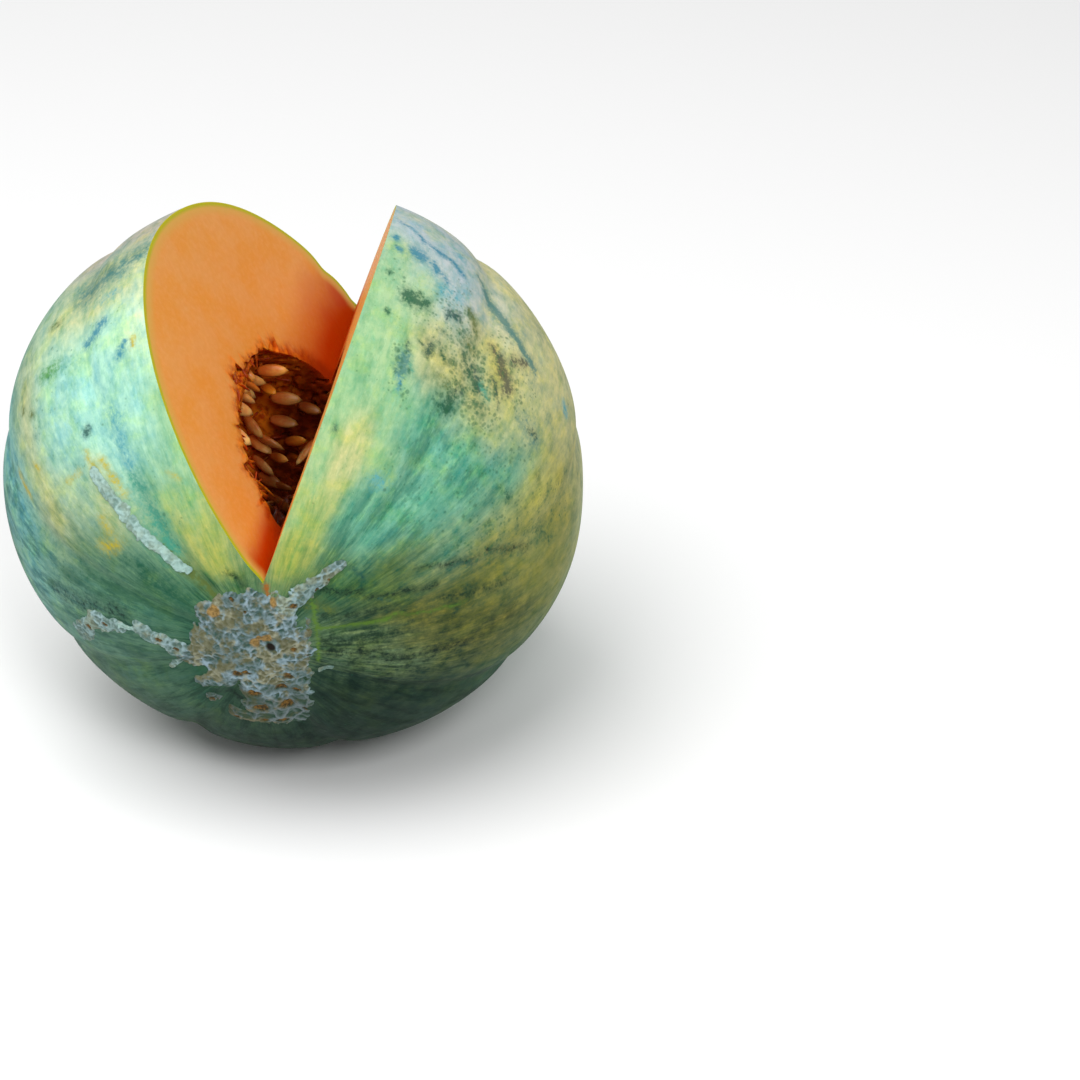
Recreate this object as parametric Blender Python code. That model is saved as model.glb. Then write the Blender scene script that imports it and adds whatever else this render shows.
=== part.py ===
"""A cantaloupe melon lying on its side, with one wedge cut out of its top from end to end.

The rind and the flesh are one grown piece. Its ribs, its furrows and the raised cork net are a formula over the
skin. Two knife faces open it down to the seed hollow, where three bands of pulp hold the seeds. The melon is
modelled on its own axis, with the blossom end at +Z, and an empty lays it down: the blossom end then points to -Y
and a little down, and the wedge opens to the top. Lengths are metres, angles are degrees, and +Z is up.
"""

from math import radians

import bmesh
import bpy
import numpy as np
from mathutils import Euler, Matrix, Vector

# The melon's own size, and how it lies
EQUATOR_RADIUS = 0.0837
POLE_RADIUS = 0.0753
AXIS_TILT = 8.0
FLAT_DEPTH = 0.0025

# Ribs: where the furrows between them run, as angles round the axis, and how deep they are
FURROW_ANGLES = (8.0, 46.0, 88.0, 132.0, 168.0, 209.0, 245.0, 283.0, 325.0)
FURROW_DEPTH_ENDS = 0.0014
FURROW_DEPTH_MIDDLE = 0.0008
FURROW_WIDTH_ENDS = 0.0024
FURROW_WIDTH_MIDDLE = 0.0055
RIB_BULGE = 0.0012

# Flats where the skin dips under the true ellipsoid, each an angle round the axis, an angle from the blossom
# end, a reach in degrees and a depth
FLATS = (
    (220.0, 54.0, 18.0, 0.0010),
    (25.0, 110.0, 18.0, 0.0011),
    (358.0, 92.0, 14.0, 0.0011),
    (118.0, 114.0, 14.0, 0.0006),
    (300.0, 70.0, 20.0, 0.0006),
    (200.0, 140.0, 26.0, 0.0010),
    (330.0, 130.0, 26.0, 0.0009),
)

# Scars at the two ends
BLOSSOM_SCAR_RADIUS = 0.0024
BLOSSOM_SCAR_DEPTH = 0.0012
STEM_DIMPLE_RADIUS = 0.015
STEM_DIMPLE_DEPTH = 0.0038
STEM_BUTTON_RADIUS = 0.0062
STEM_BUTTON_HEIGHT = 0.0032

# Cork net: strokes on the skin, each from one point to another with a half width at either end. A point is
# degrees of arc from the blossom end, to the right and upwards as one looks at that end.
CORK_STROKES = (
    (-1.0, 2.0, 11.0, 0.0, -6.0, 11.0),
    (0.0, -6.0, 10.5, 1.5, -17.0, 8.5),
    (-4.0, -22.0, 5.5, 6.0, -24.0, 4.5),
    (-9.0, -3.0, 6.5, -15.0, -7.0, 3.5),
    (-9.0, -12.0, 5.0, -13.0, -15.5, 2.0),
    (6.0, 8.0, 3.5, 15.4, 16.0, 1.8),
    (-14.0, 14.5, 1.2, -24.0, 21.0, 1.9),
    (-24.0, 21.0, 1.9, -35.5, 29.5, 1.3),
    (-15.0, -3.0, 3.2, -24.0, -3.5, 2.6),
    (-24.0, -3.5, 1.8, -31.5, -1.5, 3.0),
    (-31.5, -1.5, 2.4, -36.5, -5.0, 3.0),
    (-36.5, -5.0, 2.2, -43.0, -13.0, 3.4),
    (7.0, -26.0, 2.4, 14.0, -41.0, 1.4),
    (-3.0, -27.0, 3.0, -8.0, -38.0, 1.6),
)
CORK_HEIGHT = 0.0011
CORK_CELL = 3.6
CORK_RIDGE = 0.5
CORK_SEED = 7

# The wedge: its inner edge runs close to the axis, above it, and the two knife faces rise from it
EDGE_ABOVE_AXIS = 0.0130
EDGE_RIGHT_OF_AXIS = 0.0055
EDGE_RISE_TO_BLOSSOM = 4.6
EDGE_TURN = 3.6
RIGHT_FACE_ANGLE = 71.0
LEFT_FACE_ANGLE = 124.0
KNIFE_REACH = 0.16

# The seed hollow, and the bands of pulp on its wall: each a name, its angle round the axis, half the angle that
# it spans, and how far its seeds lean to the blossom end
HOLLOW_RADIUS = 0.043
HOLLOW_HALF_LENGTH = 0.040
HOLLOW_TOWARDS_BLOSSOM = 0.010
HOLLOW_LOBES = 0.05
HOLLOW_LOBE_ANGLE = 270.0
BANDS = (
    ("seed_mass_left", 150.0, 50.0, 6.0),
    ("seed_mass_right", 28.0, 50.0, 12.0),
    ("seed_mass_floor", 270.0, 48.0, 40.0),
)
BAND_HALF_LENGTH = 0.031
BAND_THICKNESS = 0.010
BAND_LUMPS = 0.10
WALL_GAP = 0.0006

# Seeds, at their true size, in staggered rows along each band, which fan out from its middle line
SEED_LENGTH = 0.0105
SEED_WIDTH = 0.0050
SEED_THICKNESS = 0.0026
SEED_ROOT_WIDTH = 0.72
SEED_BLUNTNESS = 0.6
SEED_ROWS = 8
SEEDS_IN_A_ROW = 8
SEED_SUNK = 0.26
SEED_FAN = 52.0
SEED_STRAY_TURN = 16.0
SEED_ROLL = 35.0
SEED_STRAY = 0.10
ROOT_CLEAR_OF_KNIFE = 0.0010
SEED_DRAW = 11

# How finely each surface is divided
SKIN_SECTORS = 72
SKIN_RINGS = 38
RING_CROWDING = 0.35
CORK_EDGE = 0.0021
HOLLOW_SECTORS = 30
HOLLOW_RINGS = 16
BAND_SECTORS = 16
BAND_RINGS = 8
SHARP_ANGLE = 40.0


def clear_scene():
    for leftover in list(bpy.data.objects):
        bpy.data.objects.remove(leftover, do_unlink=True)


def make_material(name, colour, roughness):
    """A Principled material that isn't metallic, from a linear colour."""
    material = bpy.data.materials.new(name)
    material.use_nodes = True
    shader = material.node_tree.nodes["Principled BSDF"]
    shader.inputs["Base Color"].default_value = (*colour, 1.0)
    shader.inputs["Roughness"].default_value = roughness
    shader.inputs["Metallic"].default_value = 0.0
    return material


def make_object(name, mesh, material, parent, smooth=True):
    """Links a new object to the scene, on the melon's axis if an empty lays it down."""
    mesh.materials.append(material)
    if smooth:
        mesh.shade_smooth()
        mesh.set_sharp_from_angle(angle=radians(SHARP_ANGLE))
    piece = bpy.data.objects.new(name, mesh)
    piece.parent = parent
    bpy.context.scene.collection.objects.link(piece)
    return piece


def hide_cutter(cutter):
    cutter.hide_render = True
    cutter.display_type = "WIRE"


def smooth_step(low, high, value):
    """0 below low, 1 above high, and a smooth S between them."""
    t = np.clip((value - low) / (high - low), 0.0, 1.0)
    return t * t * (3.0 - 2.0 * t)


def uv_sphere(sectors, rings):
    """A new bmesh of a unit sphere, with its poles at +Z and -Z."""
    sphere = bmesh.new()
    bmesh.ops.create_uvsphere(sphere, u_segments=sectors, v_segments=rings, radius=1.0)
    return sphere


def points_of(shape):
    return np.array([vertex.co[:] for vertex in shape.verts])


def move_points(shape, points):
    for vertex, point in zip(shape.verts, points):
        vertex.co = point


def finish_mesh(shape, name):
    bmesh.ops.recalc_face_normals(shape, faces=shape.faces)
    mesh = bpy.data.meshes.new(name)
    shape.to_mesh(mesh)
    shape.free()
    return mesh


def angles_of(directions):
    """Angle round the axis, and angle from the blossom end, in degrees, of unit directions."""
    around = np.degrees(np.arctan2(directions[:, 1], directions[:, 0])) % 360.0
    from_blossom = np.degrees(np.arccos(np.clip(directions[:, 2], -1.0, 1.0)))
    return around, from_blossom


def skin_map(around, from_blossom):
    """A flat map of the skin: degrees of arc from the blossom end, to the right and upwards."""
    turned = np.radians(around)
    return from_blossom[:, None] * np.stack([np.cos(turned), np.sin(turned)], axis=1)


def cork_cover(spots):
    """1 where a point of the skin map is inside a stroke of cork, falling to 0 just outside it."""
    cover = np.zeros(len(spots))
    for x0, y0, half0, x1, y1, half1 in CORK_STROKES:
        start = np.array([x0, y0])
        along = np.array([x1, y1]) - start
        share = np.clip((spots - start) @ along / (along @ along), 0.0, 1.0)
        distance = np.linalg.norm(spots - start - share[:, None] * along, axis=1)
        half_width = half0 + share * (half1 - half0)
        cover = np.maximum(cover, 1.0 - smooth_step(0.7, 1.3, distance / half_width))
    return cover


def cork_relief(around, from_blossom):
    """Raised ridges round irregular cells: high where the two nearest cell centres are equally far away."""
    spots = skin_map(around, from_blossom)
    draw = np.random.default_rng(CORK_SEED)
    reach = int(np.ceil(60.0 / CORK_CELL))
    grid = np.stack(np.meshgrid(np.arange(-reach, reach + 1), np.arange(-reach, reach + 1)), axis=-1)
    centres = (grid.reshape(-1, 2) + draw.uniform(-0.42, 0.42, (grid.size // 2, 2))) * CORK_CELL
    cover = cork_cover(spots)
    height = np.zeros(len(spots))
    covered = np.flatnonzero(cover > 0.0)
    distances = np.linalg.norm(spots[covered, None, :] - centres[None, :, :], axis=2)
    nearest = np.sort(distances, axis=1)[:, :2]
    ridge = 1.0 - smooth_step(0.0, CORK_RIDGE * CORK_CELL, nearest[:, 1] - nearest[:, 0])
    height[covered] = cover[covered] * (0.35 + 0.65 * ridge)
    return CORK_HEIGHT * height


def rib_relief(around, from_blossom):
    """Ribs that bulge between narrow furrows, which are deeper towards the two ends and fade out at the poles."""
    furrows = np.array(FURROW_ANGLES)
    turn = (around[:, None] - furrows[None, :] + 180.0) % 360.0 - 180.0
    nearest = np.abs(turn).min(axis=1)
    ahead = np.where(turn < 0.0, -turn, 360.0).min(axis=1)
    behind = np.where(turn >= 0.0, turn, 360.0).min(axis=1)
    across_rib = (behind - ahead) / (behind + ahead)
    ring_radius = EQUATOR_RADIUS * np.sin(np.radians(from_blossom))
    distance = np.radians(nearest) * ring_radius
    towards_end = np.cos(np.radians(from_blossom)) ** 2
    depth = FURROW_DEPTH_MIDDLE + (FURROW_DEPTH_ENDS - FURROW_DEPTH_MIDDLE) * towards_end
    width = FURROW_WIDTH_MIDDLE + (FURROW_WIDTH_ENDS - FURROW_WIDTH_MIDDLE) * towards_end
    fade = smooth_step(7.0, 17.0, from_blossom) * smooth_step(4.0, 16.0, 180.0 - from_blossom)
    valley = depth * fade * np.exp(-((distance / width) ** 2))
    bulge = RIB_BULGE * (1.0 - across_rib**2) * ring_radius / EQUATOR_RADIUS
    return bulge - valley


def end_relief(from_blossom):
    """The pit of the blossom scar, and the dimple round the raised button where the stem came away."""
    from_pole = np.radians(from_blossom) * EQUATOR_RADIUS
    from_stem = np.radians(180.0 - from_blossom) * EQUATOR_RADIUS
    pit = BLOSSOM_SCAR_DEPTH * np.exp(-((from_pole / BLOSSOM_SCAR_RADIUS) ** 2))
    dimple = STEM_DIMPLE_DEPTH * np.exp(-((from_stem / STEM_DIMPLE_RADIUS) ** 2))
    button = STEM_BUTTON_HEIGHT * (1.0 - smooth_step(0.75, 1.15, from_stem / STEM_BUTTON_RADIUS))
    return button - pit - dimple


def flat_relief(directions):
    """Slow dips, each deepest at its middle and fading with the angle from there, as no melon is truly round."""
    relief = np.zeros(len(directions))
    for around, from_blossom, reach, depth in FLATS:
        ring = np.sin(radians(from_blossom))
        middle = (ring * np.cos(radians(around)), ring * np.sin(radians(around)), np.cos(radians(from_blossom)))
        apart = np.degrees(np.arccos(np.clip(directions @ np.array(middle), -1.0, 1.0)))
        relief -= depth * np.exp(-((apart / reach) ** 2))
    return relief


def skin_points(directions):
    """The ellipsoid in these directions, raised along its own normal by all the reliefs together."""
    around, from_blossom = angles_of(directions)
    radii = np.array([EQUATOR_RADIUS, EQUATOR_RADIUS, POLE_RADIUS])
    base = directions * radii
    normals = directions / radii
    normals /= np.linalg.norm(normals, axis=1)[:, None]
    relief = rib_relief(around, from_blossom) + end_relief(from_blossom) + flat_relief(directions)
    relief += cork_relief(around, from_blossom)
    return base + normals * relief[:, None]


def fit_grid_to_ribs(shape):
    """Gives each rib of a unit sphere as many sectors as the next, and crowds its rings towards the two ends."""
    directions = points_of(shape)
    around, from_blossom = angles_of(directions)
    furrows = np.array(FURROW_ANGLES + (FURROW_ANGLES[0] + 360.0,))
    around = np.interp(around, np.linspace(0.0, 360.0, len(furrows)), furrows)
    share = from_blossom / 180.0
    share -= RING_CROWDING * np.sin(2.0 * np.pi * share) / (2.0 * np.pi)
    turned = np.radians(around)
    polar = np.pi * share
    rings = np.stack([np.cos(turned) * np.sin(polar), np.sin(turned) * np.sin(polar), np.cos(polar)], axis=1)
    move_points(shape, rings)


def divide_cork(shape):
    """Halves each edge that crosses cork until it is short enough to carry the net."""
    for _ in range(3):
        middles = np.array([((edge.verts[0].co + edge.verts[1].co) / 2.0).normalized()[:] for edge in shape.edges])
        lengths = np.array([edge.calc_length() for edge in shape.edges]) * EQUATOR_RADIUS
        inside = cork_cover(skin_map(*angles_of(middles))) > 0.05
        long_edges = [edge for edge, cut in zip(shape.edges, inside & (lengths > CORK_EDGE)) if cut]
        if not long_edges:
            break
        bmesh.ops.subdivide_edges(shape, edges=long_edges, cuts=1, use_grid_fill=True)
        bmesh.ops.triangulate(shape, faces=[face for face in shape.faces if len(face.verts) > 4])
    for vertex in shape.verts:
        vertex.co.normalize()


def make_skin_mesh():
    """The whole melon's outside as one closed mesh, on its own axis."""
    skin = uv_sphere(SKIN_SECTORS, SKIN_RINGS)
    fit_grid_to_ribs(skin)
    divide_cork(skin)
    move_points(skin, skin_points(points_of(skin)))
    bmesh.ops.triangulate(skin, faces=skin.faces)
    return finish_mesh(skin, "melon_body")


def lay_down(skin_mesh):
    """An empty that tips the melon's axis to -Y, with the skin's lowest point just under the ground plane."""
    lying = bpy.data.objects.new("lying_melon", None)
    bpy.context.scene.collection.objects.link(lying)
    lying.rotation_euler = Euler((radians(90.0 + AXIS_TILT), 0.0, 0.0))
    turn = np.array(lying.rotation_euler.to_matrix())
    turned = np.array([vertex.co[:] for vertex in skin_mesh.vertices]) @ turn.T
    low = turned.min(axis=0)
    high = turned.max(axis=0)
    lying.location = (-(low[0] + high[0]) / 2.0, -(low[1] + high[1]) / 2.0, -low[2] - FLAT_DEPTH)
    return lying


def knife_frame():
    """Where the wedge's inner edge lies on the melon's axis, as a matrix."""
    place = Matrix.Translation((EDGE_RIGHT_OF_AXIS, EDGE_ABOVE_AXIS, 0.0))
    lean = Euler((radians(-EDGE_RISE_TO_BLOSSOM), radians(-EDGE_TURN), 0.0))
    return place @ lean.to_matrix().to_4x4()


def make_wedge_mesh():
    """A triangular prism: its inner edge, and two knife faces that leave the melon at the top."""
    wedge = bmesh.new()
    outline = [Vector((0.0, 0.0, -KNIFE_REACH))]
    for angle in (RIGHT_FACE_ANGLE, LEFT_FACE_ANGLE):
        reach = Vector((np.cos(radians(angle)), np.sin(radians(angle)), 0.0)) * KNIFE_REACH
        outline.append(outline[0] + reach)
    end = wedge.faces.new([wedge.verts.new(corner) for corner in outline])
    sides = bmesh.ops.extrude_face_region(wedge, geom=[end])
    moved = [item for item in sides["geom"] if isinstance(item, bmesh.types.BMVert)]
    bmesh.ops.translate(wedge, verts=moved, vec=(0.0, 0.0, 2.0 * KNIFE_REACH))
    bmesh.ops.transform(wedge, matrix=knife_frame(), verts=wedge.verts)
    return finish_mesh(wedge, "wedge_cutter")


def hollow_radius(around, along):
    """The hollow's radius at an angle and a place along the axis: an ellipsoid, a little wider behind each band."""
    share = np.clip((along - HOLLOW_TOWARDS_BLOSSOM) / HOLLOW_HALF_LENGTH, -1.0, 1.0)
    lobes = 1.0 + HOLLOW_LOBES * np.cos(np.radians(3.0 * (around - HOLLOW_LOBE_ANGLE)))
    return HOLLOW_RADIUS * np.sqrt(1.0 - share**2) * lobes


def make_hollow_mesh():
    """The seed hollow as a closed mesh."""
    hollow = uv_sphere(HOLLOW_SECTORS, HOLLOW_RINGS)
    directions = points_of(hollow)
    around, _ = angles_of(directions)
    along = HOLLOW_TOWARDS_BLOSSOM + HOLLOW_HALF_LENGTH * directions[:, 2]
    radius = hollow_radius(around, along)
    turned = np.radians(around)
    move_points(hollow, np.stack([radius * np.cos(turned), radius * np.sin(turned), along], axis=1))
    return finish_mesh(hollow, "hollow_cutter")


def make_ground_mesh():
    """A slab whose top is the surface that the melon lies on."""
    ground = bmesh.new()
    bmesh.ops.create_cube(ground, size=1.0)
    bmesh.ops.scale(ground, verts=ground.verts, vec=(0.3, 0.3, 0.02))
    bmesh.ops.translate(ground, verts=ground.verts, vec=(0.0, 0.0, -0.01))
    return finish_mesh(ground, "ground_cutter")


def cut(piece, cutter, name):
    """Takes the cutter's shape out of the piece, and gives the new faces the cutter's material."""
    boolean = piece.modifiers.new(name, "BOOLEAN")
    boolean.operation = "DIFFERENCE"
    boolean.solver = "EXACT"
    boolean.material_mode = "TRANSFER"
    boolean.object = cutter


def band_points(unit_points, band_angle, half_angle):
    """A pad of pulp on the hollow's wall: flat against it outside, thickest in its middle, and lumpy inside."""
    sideways, lengthways, inward = unit_points.T
    around = band_angle + half_angle * sideways
    along = HOLLOW_TOWARDS_BLOSSOM + BAND_HALF_LENGTH * lengthways
    lumps = 1.0 + BAND_LUMPS * np.sin(9.0 * lengthways + band_angle) * np.cos(7.0 * sideways)
    thickness = BAND_THICKNESS * np.clip(inward, 0.0, 1.0) ** 0.6 * lumps
    radius = hollow_radius(around, along) - WALL_GAP - thickness
    turned = np.radians(around)
    return np.stack([radius * np.cos(turned), radius * np.sin(turned), along], axis=1)


def make_band_mesh(name, band_angle, half_angle):
    band = uv_sphere(BAND_SECTORS, BAND_RINGS)
    sphere = points_of(band)
    unit_points = np.stack([sphere[:, 0], sphere[:, 2], sphere[:, 1]], axis=1)
    move_points(band, band_points(unit_points, band_angle, half_angle))
    bmesh.ops.triangulate(band, faces=band.faces)
    return finish_mesh(band, name)


def make_seed_mesh():
    """One seed: flat and six-sided, blunt at its tip, and narrower at its root."""
    seed = uv_sphere(6, 3)
    shape = points_of(seed)
    shape[:, 0] *= np.where(shape[:, 2] < 0.0, SEED_ROOT_WIDTH, 1.0)
    shape[:, 2] = np.sign(shape[:, 2]) * np.abs(shape[:, 2]) ** SEED_BLUNTNESS
    shape *= np.array([SEED_WIDTH, SEED_THICKNESS, SEED_LENGTH]) / 2.0
    move_points(seed, shape)
    bmesh.ops.triangulate(seed, faces=seed.faces)
    return finish_mesh(seed, "seed")


def behind_knife(point):
    """How far a point on the melon's axis lies behind the nearer knife face, inside what was left uncut."""
    local = knife_frame().inverted() @ Vector(point)
    right = Vector((np.sin(radians(RIGHT_FACE_ANGLE)), -np.cos(radians(RIGHT_FACE_ANGLE)), 0.0))
    left = Vector((-np.sin(radians(LEFT_FACE_ANGLE)), np.cos(radians(LEFT_FACE_ANGLE)), 0.0))
    return max(local.dot(right), local.dot(left))


def seed_places(band_angle, half_angle, lean, draw):
    """Matrices that stand seeds in the band with their roots sunk in, turned away from its middle line."""
    for row in range(SEED_ROWS):
        for column in range(SEEDS_IN_A_ROW):
            stagger = 0.25 if row % 2 else -0.25
            sideways = 2.0 * (row + 0.5) / SEED_ROWS - 1.0
            lengthways = 2.0 * (column + 0.5 + stagger) / SEEDS_IN_A_ROW - 1.0
            spot = np.array([sideways, lengthways]) + draw.uniform(-SEED_STRAY, SEED_STRAY, 2)
            own_turn = draw.uniform(-SEED_STRAY_TURN, SEED_STRAY_TURN, 2)
            roll = draw.uniform(-SEED_ROLL, SEED_ROLL)
            if spot @ spot > 0.94:
                continue
            unit = np.array([[spot[0], spot[1], np.sqrt(1.0 - spot @ spot)]])
            surface = Vector(band_points(unit, band_angle, half_angle)[0])
            around = band_angle + half_angle * spot[0] + 180.0 - SEED_FAN * spot[0] + own_turn[0]
            upright = Euler((0.0, radians(90.0 - lean - own_turn[1]), radians(around)))
            turned = upright.to_matrix() @ Euler((0.0, 0.0, radians(90.0 + roll))).to_matrix()
            root = surface - turned @ Vector((0.0, 0.0, SEED_LENGTH * SEED_SUNK))
            if behind_knife(root) > ROOT_CLEAR_OF_KNIFE:
                middle = root + turned @ Vector((0.0, 0.0, SEED_LENGTH / 2.0))
                yield Matrix.Translation(middle) @ turned.to_4x4()


def join_seeds(band, seed_mesh, places):
    """Stands the seeds on the band, joins them to it with one union and removes the loose seeds."""
    seeds = bpy.data.collections.new("loose_seeds")
    bpy.context.scene.collection.children.link(seeds)
    for place in places:
        seed = bpy.data.objects.new("seed", seed_mesh)
        seed.parent = band.parent
        seed.matrix_local = place
        seeds.objects.link(seed)
    union = band.modifiers.new("seeds", "BOOLEAN")
    union.operation = "UNION"
    union.solver = "EXACT"
    union.operand_type = "COLLECTION"
    union.collection = seeds
    bpy.context.view_layer.update()
    evaluated = band.evaluated_get(bpy.context.evaluated_depsgraph_get())
    joined = bpy.data.meshes.new_from_object(evaluated)
    band.modifiers.clear()
    band.data = joined
    for seed in list(seeds.objects):
        bpy.data.objects.remove(seed, do_unlink=True)
    bpy.data.collections.remove(seeds)


def main():
    clear_scene()
    rind = make_material("rind", (0.42, 0.56, 0.30), 0.42)
    flesh = make_material("flesh", (0.85, 0.26, 0.05), 0.32)
    pulp = make_material("seed_pulp", (0.42, 0.15, 0.04), 0.3)

    skin_mesh = make_skin_mesh()
    lying = lay_down(skin_mesh)
    body = make_object("melon_body", skin_mesh, rind, lying)
    wedge = make_object("wedge_cutter", make_wedge_mesh(), flesh, lying, smooth=False)
    hollow = make_object("hollow_cutter", make_hollow_mesh(), flesh, lying)
    ground = make_object("ground_cutter", make_ground_mesh(), rind, None, smooth=False)
    for cutter in (wedge, hollow, ground):
        hide_cutter(cutter)
    cut(body, wedge, "wedge")
    cut(body, hollow, "seed_hollow")
    cut(body, ground, "flat_spot")

    seed_mesh = make_seed_mesh()
    draw = np.random.default_rng(SEED_DRAW)
    for name, band_angle, half_angle, lean in BANDS:
        band = make_object(name, make_band_mesh(name, band_angle, half_angle), pulp, lying)
        cut(band, wedge, "wedge")
        join_seeds(band, seed_mesh, seed_places(band_angle, half_angle, lean, draw))
    bpy.context.view_layer.update()


main()
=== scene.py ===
"""A cantaloupe melon lying on its side with one wedge cut out of its top: the finished look.

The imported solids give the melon's size and place. Finer surfaces stand for them here: one closed skin of rind,
cut flesh and hollow wall, a crust of cork net round the blossom end, and bands of wet pulp with their seeds.
Shapes are worked out on the melon's own axis, with the blossom end at +Z and the wedge open to +Y, and are then
laid down as the solids are. Lengths are metres and angles are degrees.
"""

from functools import partial
from math import cos, radians, sin

import bpy
import numpy as np
from mathutils import Euler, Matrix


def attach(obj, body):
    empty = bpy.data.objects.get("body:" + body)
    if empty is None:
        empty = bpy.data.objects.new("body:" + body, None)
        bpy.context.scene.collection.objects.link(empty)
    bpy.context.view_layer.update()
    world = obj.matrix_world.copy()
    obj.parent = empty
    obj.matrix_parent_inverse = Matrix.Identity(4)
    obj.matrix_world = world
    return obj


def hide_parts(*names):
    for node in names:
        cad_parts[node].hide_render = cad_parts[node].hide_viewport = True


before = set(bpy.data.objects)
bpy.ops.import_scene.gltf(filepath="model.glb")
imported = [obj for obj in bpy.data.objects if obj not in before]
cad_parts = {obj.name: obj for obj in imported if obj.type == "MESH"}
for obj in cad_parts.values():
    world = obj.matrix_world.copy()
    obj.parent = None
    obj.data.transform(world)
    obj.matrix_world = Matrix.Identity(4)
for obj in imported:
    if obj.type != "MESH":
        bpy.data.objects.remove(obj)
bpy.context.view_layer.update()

MM = 0.001

# The melon's own size, and how it lies
EQUATOR_RADIUS = 0.0837
POLE_RADIUS = 0.0753
RADII = np.array([EQUATOR_RADIUS, EQUATOR_RADIUS, POLE_RADIUS])
AXIS_TILT = 8.0
MELON_CENTRE = np.array([0.00065, 0.00095, 0.0821])

# Ribs, flats and scars, as on the solid: depths and widths of the furrows are given at the equator and near the
# ends, and the angles over which they fade from the blossom end and from the stem end
FURROW_ANGLES = np.array([8.0, 46.0, 88.0, 132.0, 168.0, 209.0, 245.0, 283.0, 325.0])
FURROW_DEPTHS = (0.0008, 0.0014)
FURROW_WIDTHS = (0.0055, 0.0024)
FURROW_FADES = ((7.0, 17.0), (4.0, 16.0))
RIB_BULGE = 0.0012
FLATS = (
    (220.0, 54.0, 18.0, 0.0010),
    (25.0, 110.0, 18.0, 0.0011),
    (358.0, 92.0, 14.0, 0.0011),
    (118.0, 114.0, 14.0, 0.0006),
    (300.0, 70.0, 20.0, 0.0006),
    (200.0, 140.0, 26.0, 0.0010),
    (330.0, 130.0, 26.0, 0.0009),
)
BLOSSOM_SCAR = (0.0024, 0.0012)
STEM_DIMPLE = (0.015, 0.0038)
STEM_BUTTON = (0.0062, 0.0032)

# The wedge's inner edge and how it is turned, the angles round it of its two knife faces, and the directions
# that point behind those faces into the melon
EDGE_POINT = np.array([0.0055, 0.0130, 0.0])
EDGE_TURN = np.array(Euler((radians(-4.6), radians(-3.6), 0.0)).to_matrix())
EDGE_ALONG = EDGE_TURN[:, 2]
RIGHT, LEFT = 0, 1
FACE_ANGLES = (71.0, 124.0)
FACE_NORMALS = [
    side * np.array([sin(radians(angle)), -cos(radians(angle)), 0.0])
    for side, angle in zip((1.0, -1.0), FACE_ANGLES)
]

# The seed hollow, and the bands of pulp on its wall
HOLLOW_RADIUS = 0.043
HOLLOW_HALF_LENGTH = 0.040
HOLLOW_MIDDLE = 0.010
HOLLOW_LOBES = 0.05
HOLLOW_LOBE_ANGLE = 270.0
RAY_ORIGIN = EDGE_POINT + EDGE_ALONG * HOLLOW_MIDDLE

# Whole numbers that turn a corner of the noise into a draw of its own
CORNER_MIXERS = np.array([73856093, 19349663, 83492791])
SEED_MIXER = 7919
DRAW_MIXERS = ((15, 2246822519), (13, 3266489917))
THIRTY_TWO_BITS = 0xFFFFFFFF


def linear(code):
    """Linear red, green and blue of an sRGB hex colour."""
    channels = np.array([int(code[place:place + 2], 16) for place in (1, 3, 5)]) / 255.0
    return np.where(channels <= 0.04045, channels / 12.92, ((channels + 0.055) / 1.055) ** 2.4)


def smooth_step(low, high, value):
    """0 below low, 1 above high, and a smooth S between them."""
    share = np.clip((value - low) / (high - low), 0.0, 1.0)
    return share * share * (3.0 - 2.0 * share)


def unit(vectors):
    """Vectors brought to length 1."""
    return vectors / np.linalg.norm(vectors, axis=-1, keepdims=True)


def corner_noise(spots, seed):
    """Smooth noise from -1 to 1: a draw for each whole-number corner, blended along an S curve between them."""
    base = np.floor(spots).astype(np.int64)
    part = spots - base
    part = part * part * (3.0 - 2.0 * part)
    total = np.zeros(spots.shape[:-1])
    for corner in np.ndindex(*(2,) * spots.shape[-1]):
        weight = np.prod(np.where(corner, part, 1.0 - part), axis=-1)
        mixed = (base + np.array(corner)) @ CORNER_MIXERS[: spots.shape[-1]]
        mixed = (mixed + seed * SEED_MIXER) & THIRTY_TWO_BITS
        for shift, mixer in DRAW_MIXERS:
            mixed = ((mixed ^ (mixed >> shift)) * mixer) & THIRTY_TWO_BITS
        total += weight * (2.0 * (mixed ^ (mixed >> 16)) / THIRTY_TWO_BITS - 1.0)
    return total


def layered_noise(spots, seed, layers=3):
    """Corner noise summed over layers, each twice as fine and half as strong as the one before."""
    total = np.zeros(spots.shape[:-1])
    for layer in range(layers):
        total += corner_noise(spots * 2.0**layer, seed + layer) / 2.0**layer
    return total / (2.0 - 2.0 ** (1 - layers))


def noise_pair(spots, seeds, layers=3, apart=0.0):
    """Two layered noises, one for each direction of a map. The second is read some way on from the first."""
    first, second = seeds
    return np.stack([layered_noise(spots, first, layers), layered_noise(spots + apart, second, layers)], axis=-1)


def lay_down(points):
    """Turns points on the melon's axis to where it lies, and keeps them on or above the floor."""
    tilt = radians(90.0 + AXIS_TILT)
    turn = np.array([[1.0, 0.0, 0.0], [0.0, cos(tilt), -sin(tilt)], [0.0, sin(tilt), cos(tilt)]])
    placed = points @ turn.T + MELON_CENTRE
    placed[..., 2] = np.maximum(placed[..., 2], 0.0)
    return placed


def skin_angles(points):
    """Angle round the axis, and angle from the blossom end on the unit sphere, of points on the skin."""
    unit = points / RADII
    around = np.degrees(np.arctan2(unit[..., 1], unit[..., 0])) % 360.0
    from_blossom = np.degrees(np.arctan2(np.hypot(unit[..., 0], unit[..., 1]), unit[..., 2]))
    return around, from_blossom


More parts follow.
